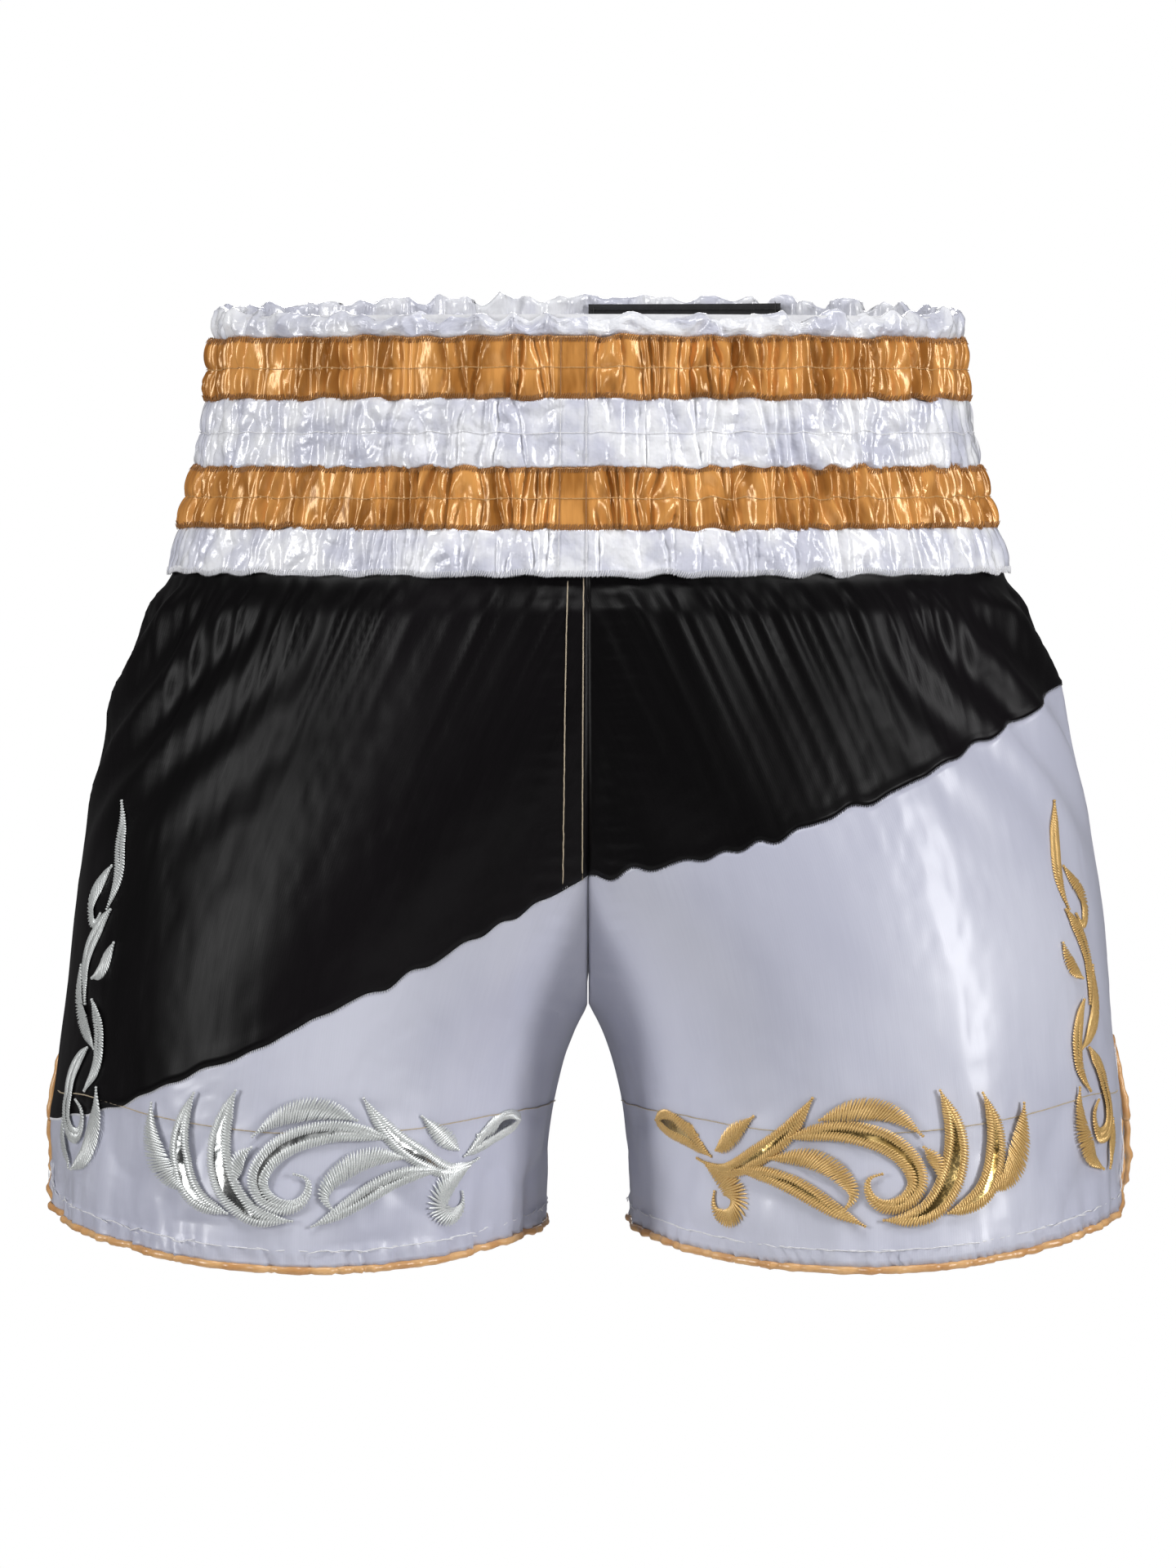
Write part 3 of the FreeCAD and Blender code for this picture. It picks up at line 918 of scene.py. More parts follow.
@dataclass
class Folds:
    """Gathers along a line: rounded ridges with sharp valleys whose places drift from row to row.

    Spread is how much the gaps between valleys differ, and drift how far the valleys stray on the next row.
    """

    seed: int
    length: float
    pitch: float
    spread: float = 0.38
    drift: float = 0.38

    def __post_init__(self) -> None:
        """Places the valleys and draws each ridge's height."""
        rng = np.random.default_rng(self.seed)
        count = int(self.length / self.pitch)
        gaps = rng.lognormal(0, self.spread, count)
        self.valleys = np.concatenate([[0], np.cumsum(gaps)]) * self.length / gaps.sum()
        self.heights = rng.uniform(0.35, 1.2, count)
        self.leans = rng.uniform(0.65, 1.6, count)
        self.count = count
        self.wander = [Ripple(self.seed * 31 + k, self.length, 0.012, 0.05, closed=True) for k in range(12)]

    def phase(self, along: np.ndarray, row: int) -> np.ndarray:
        """Counts the ridges up to a place on a stitch row."""
        wrapped = np.mod(along, self.length)
        base = np.interp(wrapped, self.valleys, np.arange(self.count + 1))
        for k in range(row):
            base = base + self.drift * self.wander[k % len(self.wander)](wrapped)
        return base

    def height(self, phase: np.ndarray, sharp: float = 0.85) -> np.ndarray:
        """The relief at a phase, from 0 in a valley to about 1."""
        whole = np.floor(phase)
        index = np.mod(whole.astype(int), self.count)
        inside = (phase - whole) ** self.leans[index]
        return np.sin(math.pi * inside) ** sharp * self.heights[index]


@dataclass
class BandStrip:
    """One gathered strip of the waistband: its node, rows of stitching and how its cloth lies.

    Pitch is the usual distance between folds, relief their height and crumple the height of the finer creases.
    Tuck is how far its two edges run on under the strips beside it, and edges are the seeds of their waves.
    """

    node: str
    slot: str
    finish: Finish
    channels: int
    seed: int
    pitch: float
    relief: float
    crumple: float
    edges: tuple[int, int]
    tuck: tuple[float, float]
    fullness: float = 1.25


@dataclass
class Waistband:
    """The gathered waistband: five strips, lining, patch, join strip, elastics and the rows of stitching."""

    shape: WornShape
    threads: ThreadTree
    columns: int = 1240
    strips: tuple[BandStrip, ...] = (
        BandStrip(
            "upper_gold_stripe", "gold_satin", Finish.GOLD_SATIN, 2, 11, 0.0047, 0.0040, 0.0002, (1, 2), (0.0, 0.0)
        ),
        BandStrip(
            "waistband_centre", "white_band_satin", Finish.BAND_SATIN, 2, 23, 0.0064, 0.0021, 0.0012, (2, 3),
            (TUCK, TUCK),
        ),
        BandStrip(
            "lower_gold_stripe", "gold_satin", Finish.GOLD_SATIN, 2, 37, 0.0050, 0.0040, 0.0002, (3, 4), (0.0, 0.0)
        ),
        BandStrip(
            "waistband_foot", "white_band_satin", Finish.BAND_SATIN, 1, 41, 0.0075, 0.0020, 0.0012, (4, 5),
            (TUCK, 0.0),
        ),
    )
    gather: float = 0.003
    join_from: float = -0.0112
    join_to: float = 0.0016
    fold_spread: float = 0.46
    fold_drift: float = 0.24
    edge_wave: float = 0.00038
    strip_allowance: float = 1.05
    header_flat: float = 0.028
    header_fullness: float = 1.2
    lining_columns: int = 620
    lining_fullness: float = 1.15
    tape_wide: float = 0.012

    def build(self) -> None:
        """Makes every piece of the waistband."""
        for strip in self.strips:
            self.strip(strip)
        self.header()
        self.lining()
        self.patch()
        self.join_tape()
        for index in range(1, 7):
            node = frame["nodes"][f"elastic_{index}"]
            node.data.materials.clear()
            node.data.materials.append(Finish.ELASTIC.material())
        LOG.info("waistband done")

    def place(self, share: np.ndarray, drop: np.ndarray, inset: np.ndarray | float) -> np.ndarray:
        """Points round the waistband.

        Args:
            share: The share of the way round, from the middle of the front towards the wearer's left.
            drop: The depth below the rim.
            inset: How far inside the frame's outer skin.

        Returns:
            The points.
        """
        share, drop, inset = np.broadcast_arrays(np.asarray(share, float), drop, inset)
        oval = self.shape.band(np.maximum(drop, 0), inset)
        half = oval.length_to(np.full_like(drop, math.pi))
        turn = np.mod(share, 1.0)
        # The half oval is measured from the left side; the front is a quarter of the way round before it.
        quarter = np.mod(turn - 0.25, 1.0) * 2 * half
        back = quarter <= half
        angle = oval.angle_at(np.where(back, quarter, 2 * half - quarter))
        out, forward = oval.point(angle)
        return np.stack([out, np.where(back, forward, -forward), -drop], -1)

    def length(self, drop: float) -> float:
        """The distance round the waistband at a drop."""
        oval = self.shape.band(np.array([drop]))
        return float(oval.length_to(np.array([math.pi]))[0] * 2)

    def flat_at_join(self, along: np.ndarray, length: float) -> np.ndarray:
        """0 on the flat join strip and 1 away from it."""
        centred = np.mod(along + length / 2, length) - length / 2
        left = smooth(centred, self.join_from, self.join_from - 0.004)
        right = smooth(centred, self.join_to, self.join_to + 0.003)
        return np.maximum(left, right)

    def edge(self, seed: int, along: np.ndarray, length: float) -> np.ndarray:
        """How far an edge between two strips strays from its level."""
        wave = Ripple(seed + 50, length, 0.012, 0.07, closed=True)(along)
        return wave * self.edge_wave * self.flat_at_join(along, length)

    def strip(self, strip: BandStrip) -> None:
        """Makes one gathered strip with its rows of stitching."""
        low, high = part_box(strip.node)
        top, bottom = -float(high.z), -float(low.z)
        per_channel = 13 if strip.channels > 1 else 18
        rows = strip.channels * per_channel + 1
        share = np.linspace(0, 1, self.columns, endpoint=False)
        t = np.linspace(0, 1, rows)[:, None]
        length = self.length((top + bottom) / 2)
        along = share[None] * length
        folds = Folds(strip.seed, length, strip.pitch, self.fold_spread, self.fold_drift)
        place = t * strip.channels
        channel = np.minimum(place.astype(int), strip.channels - 1)
        inside = place - channel
        ease = smooth(inside, 0, 1)
        height = np.zeros((rows, self.columns))
        for row in range(rows):
            c = int(channel[row, 0])
            phase = folds.phase(along[0], c) * (1 - ease[row, 0]) + folds.phase(along[0], c + 1) * ease[row, 0]
            height[row] = folds.height(phase)
        swell = np.sin(math.pi * inside) ** 0.6
        calm = self.flat_at_join(along, length)
        first = self.edge(strip.edges[0], along, length)
        last = self.edge(strip.edges[1], along, length)
        drop = (top + first) * (1 - t) + (bottom + last) * t
        base = self.place(share[None], drop, self.gather)
        creased = ridges(base, 95.0, strip.seed)
        soft = cloud(base, 38.0, strip.seed + 2.0)
        relief = strip.relief * (height - 0.35) * (0.30 + 0.70 * swell) * (0.12 + 0.88 * calm)
        relief = relief + strip.crumple * (creased * 0.9 + soft * 0.7 - 0.3) * (0.25 + 0.75 * swell)
        relief = np.maximum(relief, -0.0014) + 0.0008 + 0.0006 * (1 - calm)
        grid = self.place(share[None], drop, self.gather - 0.0006 - relief)
        self.rows(strip, grid, per_channel)
        grid = self.tucked(strip, grid, drop, share)
        cut = np.stack(np.broadcast_arrays(share[None] * length * strip.fullness, grid[..., 2]), -1)
        piece = Mesh.from_grid(grid, cut, closed=True).piece(f"{strip.node}_cloth", strip.finish, merge=True)
        thicken(piece, 0.0003)
        ride(piece, strip.slot, strip.node)
        wide = bottom - top + sum(strip.tuck)
        LOG.info("%s: %d points", piece.name, grid[..., 0].size)

    def tucked(self, strip: BandStrip, grid: np.ndarray, drop: np.ndarray, share: np.ndarray) -> np.ndarray:
        """Adds the edges that run on under the strips beside it."""
        parts = [grid]
        under = self.gather + 0.0002
        if strip.tuck[0]:
            above = [self.place(share[None], drop[:1] - strip.tuck[0] * k, under + 0.0003 * k) for k in (1.0, 0.4)]
            parts = above + parts
        if strip.tuck[1]:
            parts += [self.place(share[None], drop[-1:] + strip.tuck[1] * k, under + 0.0003 * k) for k in (0.4, 1.0)]
        return np.concatenate(parts)

    def rows(self, strip: BandStrip, grid: np.ndarray, per_channel: int) -> None:
        """Lays the stitching on one strip: between its channels, down the join strip and over its edges."""
        outward = normals_of(grid, closed=True, flip=False)
        closed = np.concatenate([grid, grid[:, :1]], 1)
        facing = np.concatenate([outward, outward[:, :1]], 1)
        gold = strip.finish is Finish.GOLD_SATIN
        middle = [Path.even(closed[r], facing[r]) for r in range(per_channel, len(grid) - 1, per_channel)]
        edges = [Path.even(closed[r], facing[r]) for r in ([1, -2] if gold else [-2])]
        if middle:
            thread = Finish.PALE_GOLD_THREAD if gold else Finish.WHITE_THREAD
            inputs = {**Stitch.GATHER.value, "Lift": 0.0001}
            ride(self.threads.lay(f"{strip.node}_row_stitches", middle, thread, strip.seed, **inputs), strip.slot)
        places = (self.join_from + 0.0008, self.join_to - 0.0022)
        columns = [round(x / self.length(0.05) * self.columns) for x in places]
        down = [Path.even(grid[3:-4, c], outward[3:-4, c]) for c in columns]
        thread = Finish.BRONZE_THREAD if gold else Finish.WHITE_THREAD
        inputs = {**Stitch.TOPSTITCH.value, "Lift": 0.0002}
        ride(self.threads.lay(f"{strip.node}_join_stitches", down, thread, strip.seed + 1, **inputs), strip.slot)
        if gold or strip.node == "waistband_foot":
            inputs = {**Stitch.OVERCAST.value, "Lift": 0.0001}
            piece = self.threads.lay(f"{strip.node}_edge_stitches", edges, thread, strip.seed, **inputs)
            ride(piece, strip.slot)

    def header(self) -> None:
        """Makes the ruffled header, folded over the rim and down the inside."""
        foot = -float(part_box("waistband_header")[0].z)
        share = np.linspace(0, 1, self.columns, endpoint=False)
        length = self.length(0.0)
        along = share[None] * length
        facing_back = (1 - np.cos(2 * math.pi * share[None])) / 2
        rim = -0.0042 + 0.0108 * facing_back**1.4
        rim = rim + 0.0012 * Ripple(71, length, 0.011, 0.05, closed=True)(along)
        outer, inner, over = 13, 9, 6
        roll, fold = 0.0012, 0.0013
        folds = Folds(77, length, 0.0085)
        sway = Ripple(73, length, 0.014, 0.06, closed=True)(along)
        points = []
        runs = []
        calm = self.flat_at_join(along, length)
        under = self.gather + 0.0002
        edge = self.edge(1, along, length)
        for k in (1.0, 0.4):
            points.append(self.place(share[None], foot + edge + TUCK * k, under + 0.0003 * k))
            runs.append(-TUCK * k)
        for i in range(outer):
            t = i / (outer - 1)
            drop = foot + edge * (1 - t) + (-rim + roll - foot) * t
            puff = 0.0008 * math.sin(math.pi * min(t * 1.05, 1.0)) ** 0.6
            phase = folds.phase(along, 0) * (1 - t) + folds.phase(along, 1) * t
            height = folds.height(phase) * 0.0016 * (0.35 + 0.65 * math.sin(math.pi * t * 0.9)) * (0.3 + 0.7 * calm)
            lean = sway * 0.0010 * t
            points.append(self.place(share[None], drop, self.gather - 0.0004 - puff - height - lean))
            runs.append(t * foot)
        for i in range(1, over + 1):
            a = math.pi * i / (over + 1)
            drop = -rim + roll - roll * math.sin(a)
            points.append(self.place(share[None], drop, self.gather + fold * (1 - math.cos(a)) - sway * 0.0010))
            runs.append(foot + 0.0004 * i)
        for i in range(inner):
            t = i / (inner - 1)
            drop = (-rim + roll) * (1 - t) + 0.011 * t
            height = folds.height(folds.phase(along, 2)) * 0.0010 * (1 - t)
            points.append(self.place(share[None], drop, self.gather + 2 * fold + height - sway * 0.0010 * (1 - t)))
            runs.append(foot + 0.003 + t * 0.011)
        grid = np.concatenate(points, 0)
        creased = ridges(grid, 105.0, 7.0) + 0.6 * cloud(grid, 60.0, 3.0)
        out = normals_of(grid, closed=True, flip=False)
        body = np.sin(math.pi * np.linspace(0, 1, len(grid)))[:, None] ** 0.5
        grid = grid + out * (creased * 0.0009 * body)[..., None]
        cut = np.stack(np.broadcast_arrays(along * self.header_fullness, -np.array(runs)[:, None]), -1)
        mesh = Mesh.from_grid(grid[::-1], cut[::-1], closed=True)
        piece = mesh.piece("waistband_header_cloth", Finish.BAND_SATIN, merge=True)
        thicken(piece, 0.0003)
        ride(piece, "white_band_satin", "waistband_header")

    def lining(self) -> None:
        """Makes the gathered lining inside the elastics."""
        inset = self.gather + 0.0012
        share = np.linspace(0, 1, self.lining_columns, endpoint=False)
        foot = self.shape.foot
        t = np.linspace(0, 1, 61)[:, None]
        drop = 0.004 + (foot - 0.004) * t
        length = self.length(foot / 2)
        along = share[None] * length
        folds = Folds(91, length, 0.0095)
        channel = np.abs(np.sin(math.pi * t * 8)) ** 0.6
        phase = folds.phase(along, 0) * (1 - t) + folds.phase(along, 2) * t
        height = folds.height(phase) * 0.0007 * (0.3 + 0.7 * channel)
        grid = self.place(share[None], drop, inset + 0.0001 + height)
        cut = np.stack(np.broadcast_arrays(along, -drop), -1)
        mesh = Mesh.from_grid(grid, cut, closed=True, flip=True)
        piece = mesh.piece("waistband_lining_cloth", Finish.LINING, merge=True)
        thicken(piece, 0.0004)
        ride(piece, "white_lining", "waistband_lining")

    def inside_patch(self, name: str, start: float, end: float, top: float, bottom: float) -> np.ndarray:
        """The points of a flat piece on the lining.

        Args:
            name: Its name, whose length sets its waves.
            start: Where it starts, in metres round from the middle of the front.
            end: Where it ends.
            top: The depth of its top below the rim.
            bottom: The depth of its bottom.

        Returns:
            The points, clear of the header's inner flap.
        """
        columns = max(int((end - start) / 0.002), 8)
        share = np.linspace(start, end, columns)[None] / self.length((top + bottom) / 2)
        drop = np.linspace(top, bottom, max(int((bottom - top) / 0.002), 6))[:, None]
        wave = cloud(self.place(share, drop, 0.0), 30.0, len(name)) * 0.0005
        clear = 0.0032 + 0.0024 * smooth(drop, 0.018, 0.011)
        return self.place(share, drop, self.gather + clear - wave)

    def patch(self) -> None:
        """Makes the plain black piece inside the back, with a stitched border."""
        low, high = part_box("inner_patch")
        half = self.length(0.02) / 2
        wide = float(high.x - low.x)
        grid = self.inside_patch("patch", half - wide, half, -0.0032, -float(low.z))
        cut = np.stack(np.meshgrid(np.linspace(0, wide, grid.shape[1]), np.linspace(0, -0.046, len(grid))), -1)
        piece = Mesh.from_grid(grid, cut, flip=True).piece("inner_patch_cloth", Finish.BLACK_CLOTH)
        thicken(piece, 0.0004)
        ride(piece, "black_patch", "inner_patch")
        inward = -normals_of(grid, closed=False, flip=False)
        border = [grid[1:-1, 1], grid[-2, 1:-1], grid[1:-1, -2][::-1], grid[1, 1:-1][::-1]]
        facing = [inward[1:-1, 1], inward[-2, 1:-1], inward[1:-1, -2][::-1], inward[1, 1:-1][::-1]]
        path = Path.even(np.concatenate(border), np.concatenate(facing))
        inputs = {**Stitch.TOPSTITCH.value, "Lift": 0.0002}
        ride(self.threads.lay("inner_patch_stitches", [path], Finish.BLACK_THREAD, 3, **inputs), "black_patch")

    def join_tape(self) -> None:
        """Makes the tape over the join inside."""
        foot = self.shape.foot
        grid = self.inside_patch("tape", -self.tape_wide, 0.0, 0.004, foot - 0.001)
        across = np.linspace(0, self.tape_wide, grid.shape[1])
        cut = np.stack(np.meshgrid(across, np.linspace(0, -foot, len(grid))), -1)
        piece = Mesh.from_grid(grid, cut, flip=True).piece("waistband_join_tape_cloth", Finish.LINING)
        thicken(piece, 0.0004)
        ride(piece, "white_lining", "waistband_join_tape")


# ------------------------------------------------------------------------------------------------------ legs


class Half(Enum):
    """The front or the back of a leg, with the sign of its Y."""

    FRONT = -1
    BACK = 1

    @property
    def word(self) -> str:
        """The half's name."""
        return self.name.lower()


class Side(Enum):
    """The wearer's left or right leg, with the sign of its X."""

    LEFT = 1
    RIGHT = -1

    @property
    def word(self) -> str:
        """The side's name."""
        return self.name.lower()


@dataclass(frozen=True)
class Hang:
    """A short cloth simulation: satin cut a little too full, held at the waistband and along both seams."""

    step: int = 2
    frames: int = 14
    fullness: float = 1.022
    drop_slack: float = 1.004
    mass: float = 0.0005
    stiffness: float = 15.0
    bending: float = 1.0
    most: float = 0.003

    def settle(self, grid: np.ndarray, out: np.ndarray) -> np.ndarray:
        """Lets the cloth hang.

        Args:
            grid: The cloth's points, from the waistband down and from the side seam to the middle.
            out: The outward direction at each point.

        Returns:
            How far each point moves outwards.
        """
        rows, columns = (np.unique(np.r_[np.arange(0, size, self.step), size - 1]) for size in grid.shape[:2])
        start = grid[np.ix_(rows, columns)]
        thing = self._cloth(start)
        scene = bpy.context.scene
        for number in range(1, self.frames + 1):
            scene.frame_set(number)
        evaluated = thing.evaluated_get(bpy.context.evaluated_depsgraph_get())
        found = np.zeros(start.size)
        evaluated.data.vertices.foreach_get("co", found)
        mesh = thing.data
        bpy.data.objects.remove(thing)
        bpy.data.meshes.remove(mesh)
        scene.frame_set(1)
        moved = ((found.reshape(start.shape) - start) * out[np.ix_(rows, columns)]).sum(-1)
        moved = self.most * np.tanh(np.nan_to_num(moved) / self.most)
        LOG.info("cloth moved by %.2f mm on average", float(np.abs(moved).mean()) / MM)
        across = np.stack([np.interp(np.arange(grid.shape[1]), columns, line) for line in moved])
        return np.stack([np.interp(np.arange(grid.shape[0]), rows, line) for line in across.T], 1)

    def _cloth(self, start: np.ndarray) -> bpy.types.Object:
        """The coarse cloth with its rest shape, its held edges and the Cloth modifier."""
        rows, columns = start.shape[:2]
        mesh = bpy.data.meshes.new("hanging_cloth")
        mesh.from_pydata(start.reshape(-1, 3).tolist(), [], quads_of(rows, columns))
        thing = bpy.data.objects.new("hanging_cloth", mesh)
        bpy.context.scene.collection.objects.link(thing)
        thing.shape_key_add(name="worn")
        rest = thing.shape_key_add(name="cut")
        cut = start * np.array([self.fullness, self.fullness, self.drop_slack])
        rest.data.foreach_set("co", cut.astype(np.float32).ravel())
        index = np.arange(rows * columns).reshape(rows, columns)
        held = thing.vertex_groups.new(name="held")
        edges = np.unique(np.concatenate([index[:2].ravel(), index[:, 0], index[:, -1]]))
        held.add(edges.tolist(), 1.0, "REPLACE")
        cloth = thing.modifiers.new("cloth", "CLOTH")
        cloth.point_cache.frame_end = self.frames
        cloth.collision_settings.use_collision = False
        settings = cloth.settings
        settings.quality = 5
        settings.mass = self.mass
        settings.vertex_group_mass = held.name
        settings.rest_shape_key = rest
        settings.tension_stiffness = settings.compression_stiffness = self.stiffness
        settings.shear_stiffness = self.stiffness / 3
        settings.bending_stiffness = self.bending
        return thing


@dataclass(frozen=True)
class FoldHeights:
    """How high each kind of fold stands on a leg, in metres.

    Puckers and drapes hang from the waistband, hips are the slanting folds at the sides and sway the slow waves
    all over. Ripple, fine, soft and crease are on the hem, and crotch is the short puckers at the centre seam.
    Sunk is how deep the top lies under the waistband, and lap how far the back half lies over the front at a slit.
    """

    pucker: float = 0.0022
    drape: float = 0.0022
    hips: float = 0.0022
    sway: float = 0.0014
    ripple: float = 0.0006
    fine: float = 0.00022
    soft: float = 0.0018
    crease: float = 0.0011
    crotch: float = 0.0004
    sunk: float = 0.0032
    lap: float = 0.0035


@dataclass
class HalfLeg:
    """The front or the back of one leg: black and white satin, facing, binding, seams and stitching.

    Shares are the columns' places, from 0 at the side seam to 1 at the middle. Grid is the folded cloth, out its
    own outward directions and smooth_out those of the worn shape. Cut is the cloth's flat places.
    """

    shape: WornShape
    threads: ThreadTree
    side: Side
    half: Half
    upper_rows: int = 56
    lower_rows: int = 64
    columns: int = 150
    slit_gap: float = 0.0008
    slit_corner: float = 0.036
    slit_corner_drop: float = 0.308
    slit_drop: float = 0.275
    hem_middle: float = 0.095
    hem_radius: float = 0.465
    split_middle: float = 0.210
    binding: float = 0.003
    binding_flat: float = 0.010
    facing_depth: float = 0.058
    straight_to: float = 0.24
    edge_step: float = 0.0016
    heights: FoldHeights = FoldHeights()
    shares: np.ndarray = field(init=False)
    seam_row: int = field(init=False)
    hem_line: np.ndarray = field(init=False)
    along: np.ndarray = field(init=False)
    drop: np.ndarray = field(init=False)
    grid: np.ndarray = field(init=False)
    out: np.ndarray = field(init=False)
    smooth_out: np.ndarray = field(init=False)
    cut: np.ndarray = field(init=False)

    @property
    def flip(self) -> bool:
        """Whether faces turn over on this half."""
        return self.side.value * self.half.value < 0

    @property
    def prefix(self) -> str:
        """The start of this half's node names."""
        return f"{self.half.word}_{self.side.word}"

    @property
    def leg_middle(self) -> float:
        """How far out the leg's own middle is beside the slit."""
        return float(self.shape.centre(0.3))

    def seam_drop(self, out: np.ndarray) -> np.ndarray:
        """How low the slanting seam is at a distance from the middle plane."""
        start, reach = self.split_middle, 0.215
        end, radius = (0.118, 0.420) if self.side is Side.LEFT else (0.312, 1.500)
        chord = math.hypot(reach, end - start)
        sag = radius - math.sqrt(radius**2 - chord**2 / 4)
        t = np.clip(out / reach, 0, 1)
        wave = Ripple(61 + self.side.value, reach, 0.011, 0.06)(out) * 0.0007
        return start + (end - start) * t + sag * 4 * t * (1 - t) + wave

    def hem_drop(self, points: np.ndarray) -> np.ndarray:
        """How low the cloth's edge is below a place, with the rounded corner at the slit."""
        out, forward = np.abs(points[..., 0]), np.abs(points[..., 1])
        arc = self.shape.hem - self.hem_radius + np.sqrt(self.hem_radius**2 - (out - self.hem_middle) ** 2)
        radius = self.slit_corner - self.binding
        inside = np.clip(radius - (forward - self.slit_gap / 2 - self.binding), 0, radius)
        corner = self.slit_corner_drop + np.sqrt(radius**2 - inside**2)
        near_slit = (out > self.leg_middle) & (inside > 0)
        edge = arc - self.binding
        return np.where(near_slit, np.minimum(corner, edge), edge)

    def at(self, along: np.ndarray, drop: np.ndarray, inset: float | np.ndarray = 0.0) -> np.ndarray:
        """The point at a distance from the side seam and a drop."""
        along, drop = np.broadcast_arrays(np.asarray(along, float), drop)
        oval = self.shape.leg(drop, inset)
        out, forward = oval.point(oval.angle_at(along))
        return np.stack([out * self.side.value, forward * self.half.value, -drop], -1)

    def reach(self, drop: np.ndarray) -> np.ndarray:
        """The distance from the side seam to the centre seam or inseam."""
        oval = self.shape.leg(np.asarray(drop, float))
        return oval.length_to(oval.inner_angle())

    def along_at(self, share: np.ndarray, drop: np.ndarray) -> np.ndarray:
        """The distance from the side seam of a column, which takes up the inseam's bend near its inner end."""
        share, drop = np.broadcast_arrays(np.asarray(share, float), drop)
        start, end = self.shape.foot, self.straight_to
        first, last = self.reach(np.array([start, end]))
        calm = first + (last - first) * np.clip((drop - start) / (end - start), 0, 1)
        return calm * share + (self.reach(drop) - calm) * share**5

    def across(self, share: np.ndarray, drop: np.ndarray, inset: float | np.ndarray = 0.0) -> np.ndarray:
        """The point in a column, from 0 at the side seam to 1 at the centre seam or inseam."""
        share, drop = np.broadcast_arrays(np.asarray(share, float), drop)
        return self.at(self.along_at(share, drop), drop, inset)

    def build(self) -> None:
        """Makes every piece of this half leg."""
        self.shares = self.column_shares()
        self.lay_grid()
        self.panels()
        self.facing()
        self.bind_edge()
        self.stitching()
        LOG.info("%s half leg done", self.prefix)

    def column_shares(self) -> np.ndarray:
        """Where the columns stand, closer together at the rounded corner."""
        corner = 1 - np.cos(np.linspace(0, math.pi / 2, 18))
        corner = corner * (self.slit_corner * 1.05) / float(self.reach(np.array([self.straight_to]))[0])
        rest = np.linspace(corner[-1], 1, self.columns - len(corner) + 1)[1:]
        return np.concatenate([corner, rest])

    def lay_grid(self) -> None:
        """Works out the cloth's points from the waistband to the hem, and its folds."""
        shares = self.shares
        top = self.shape.foot - 0.0035
        # Where a column meets the seam and the hem changes how far out it is there, so both are found by steps.
        seam = np.full_like(shares, self.split_middle)
        hem = np.full_like(shares, 0.345)
        for _ in range(12):
            seam = self.seam_drop(np.abs(self.across(shares, seam)[..., 0]))
            hem = 0.5 * hem + 0.5 * self.hem_drop(self.across(shares, hem))
        seam = np.minimum(seam, hem - 0.004)
        upper = np.linspace(0, 1, self.upper_rows)[:, None]
        lower = np.linspace(0, 1, self.lower_rows)[:, None]
        drop = np.concatenate([top + (seam - top) * upper, (seam + (hem - seam) * lower)[1:]])
        self.seam_row = self.upper_rows - 1
        base = self.across(shares[None], drop)
        out = normals_of(base, closed=False, flip=self.flip)
        along = self.along_at(shares[None], drop)
        self.along, self.drop, self.hem_line = along, drop, hem
        relief = self.folds(base, along, drop, hem)
        self.grid = base + out * relief[..., None]
        edge = (self.slit_gap / 2 + self.binding) * smooth(drop, self.slit_drop, self.slit_drop + 0.004)
        reach, forward = 0.015, np.abs(self.grid[..., 1])
        outer = np.abs(base[..., 0]) > self.leg_middle
        squeezed = edge + forward * (1 - edge / reach)
        self.grid[..., 1] = np.where(outer & (forward < reach), squeezed, forward) * self.half.value
        self.grid += out * Hang().settle(self.grid, out)[..., None]
        self.smooth_out = out
        self.out = normals_of(self.grid, closed=False, flip=self.flip)
        self.cut = np.stack([along * self.side.value + self.half.value * 2.0, -drop], -1)

    def folds(self, base: np.ndarray, along: np.ndarray, drop: np.ndarray, hem: np.ndarray) -> np.ndarray:
        """The height of the cloth's folds above its worn shape."""
        seed = 5 * self.side.value + 11 * self.half.value + 40
        depth = drop - self.shape.foot
        whole = float(along.max())
        fine = Folds(seed, whole + 0.2, 0.0105, drift=0.5)
        wide = Folds(seed + 1, whole + 0.2, 0.027, 0.45, drift=0.6)
        shift = along - depth * 0.30 * smooth(along, 0.16, 0.02)
        free = smooth(depth, 0.001, 0.009)
        puckers = (fine.height(fine.phase(shift, 0), 0.9) - 0.3) * np.exp(-depth / 0.018) * free
        drapes = wide.height(wide.phase(shift, 1), 1.2) * np.exp(-depth / 0.030) * smooth(depth, 0.0, 0.02)
        hips = smooth(along, 0.15, 0.03) * smooth(depth, 0.0, 0.02) * smooth(depth, 0.12, 0.05)
        slant = np.sin((along * 0.9 + depth * 0.75) * 2 * math.pi / 0.034 + 1.5 * cloud(base, 14.0, seed))
        sway = cloud(base, 11.0, seed + 3.0)
        high = self.heights
        relief = high.pucker * puckers + high.drape * drapes + high.hips * hips * slant + high.sway * sway * free
        above = hem[None] - drop
        band = smooth(above, 0.0075, 0.0060)
        ripple = Ripple(seed + 7, whole, 0.010, 0.035)(along)
        pucker = Ripple(seed + 8, whole, 0.0035, 0.010)(along + 0.4 * above)
        relief = relief + high.ripple * ripple * np.exp(-above / 0.012)
        relief = relief + band * (0.0004 + 0.00028 * pucker) + high.fine * pucker * np.exp(-above / 0.012)
        low = smooth(above, 0.085, 0.03)
        relief = relief + low * high.soft * cloud(base * np.array([1.0, 1.0, 0.6]), 38.0, seed + 9.0)
        relief = relief + low * high.crease * (ridges(base, 34.0, seed + 4.0) - 0.6)
        centre = np.abs(base[..., 0])
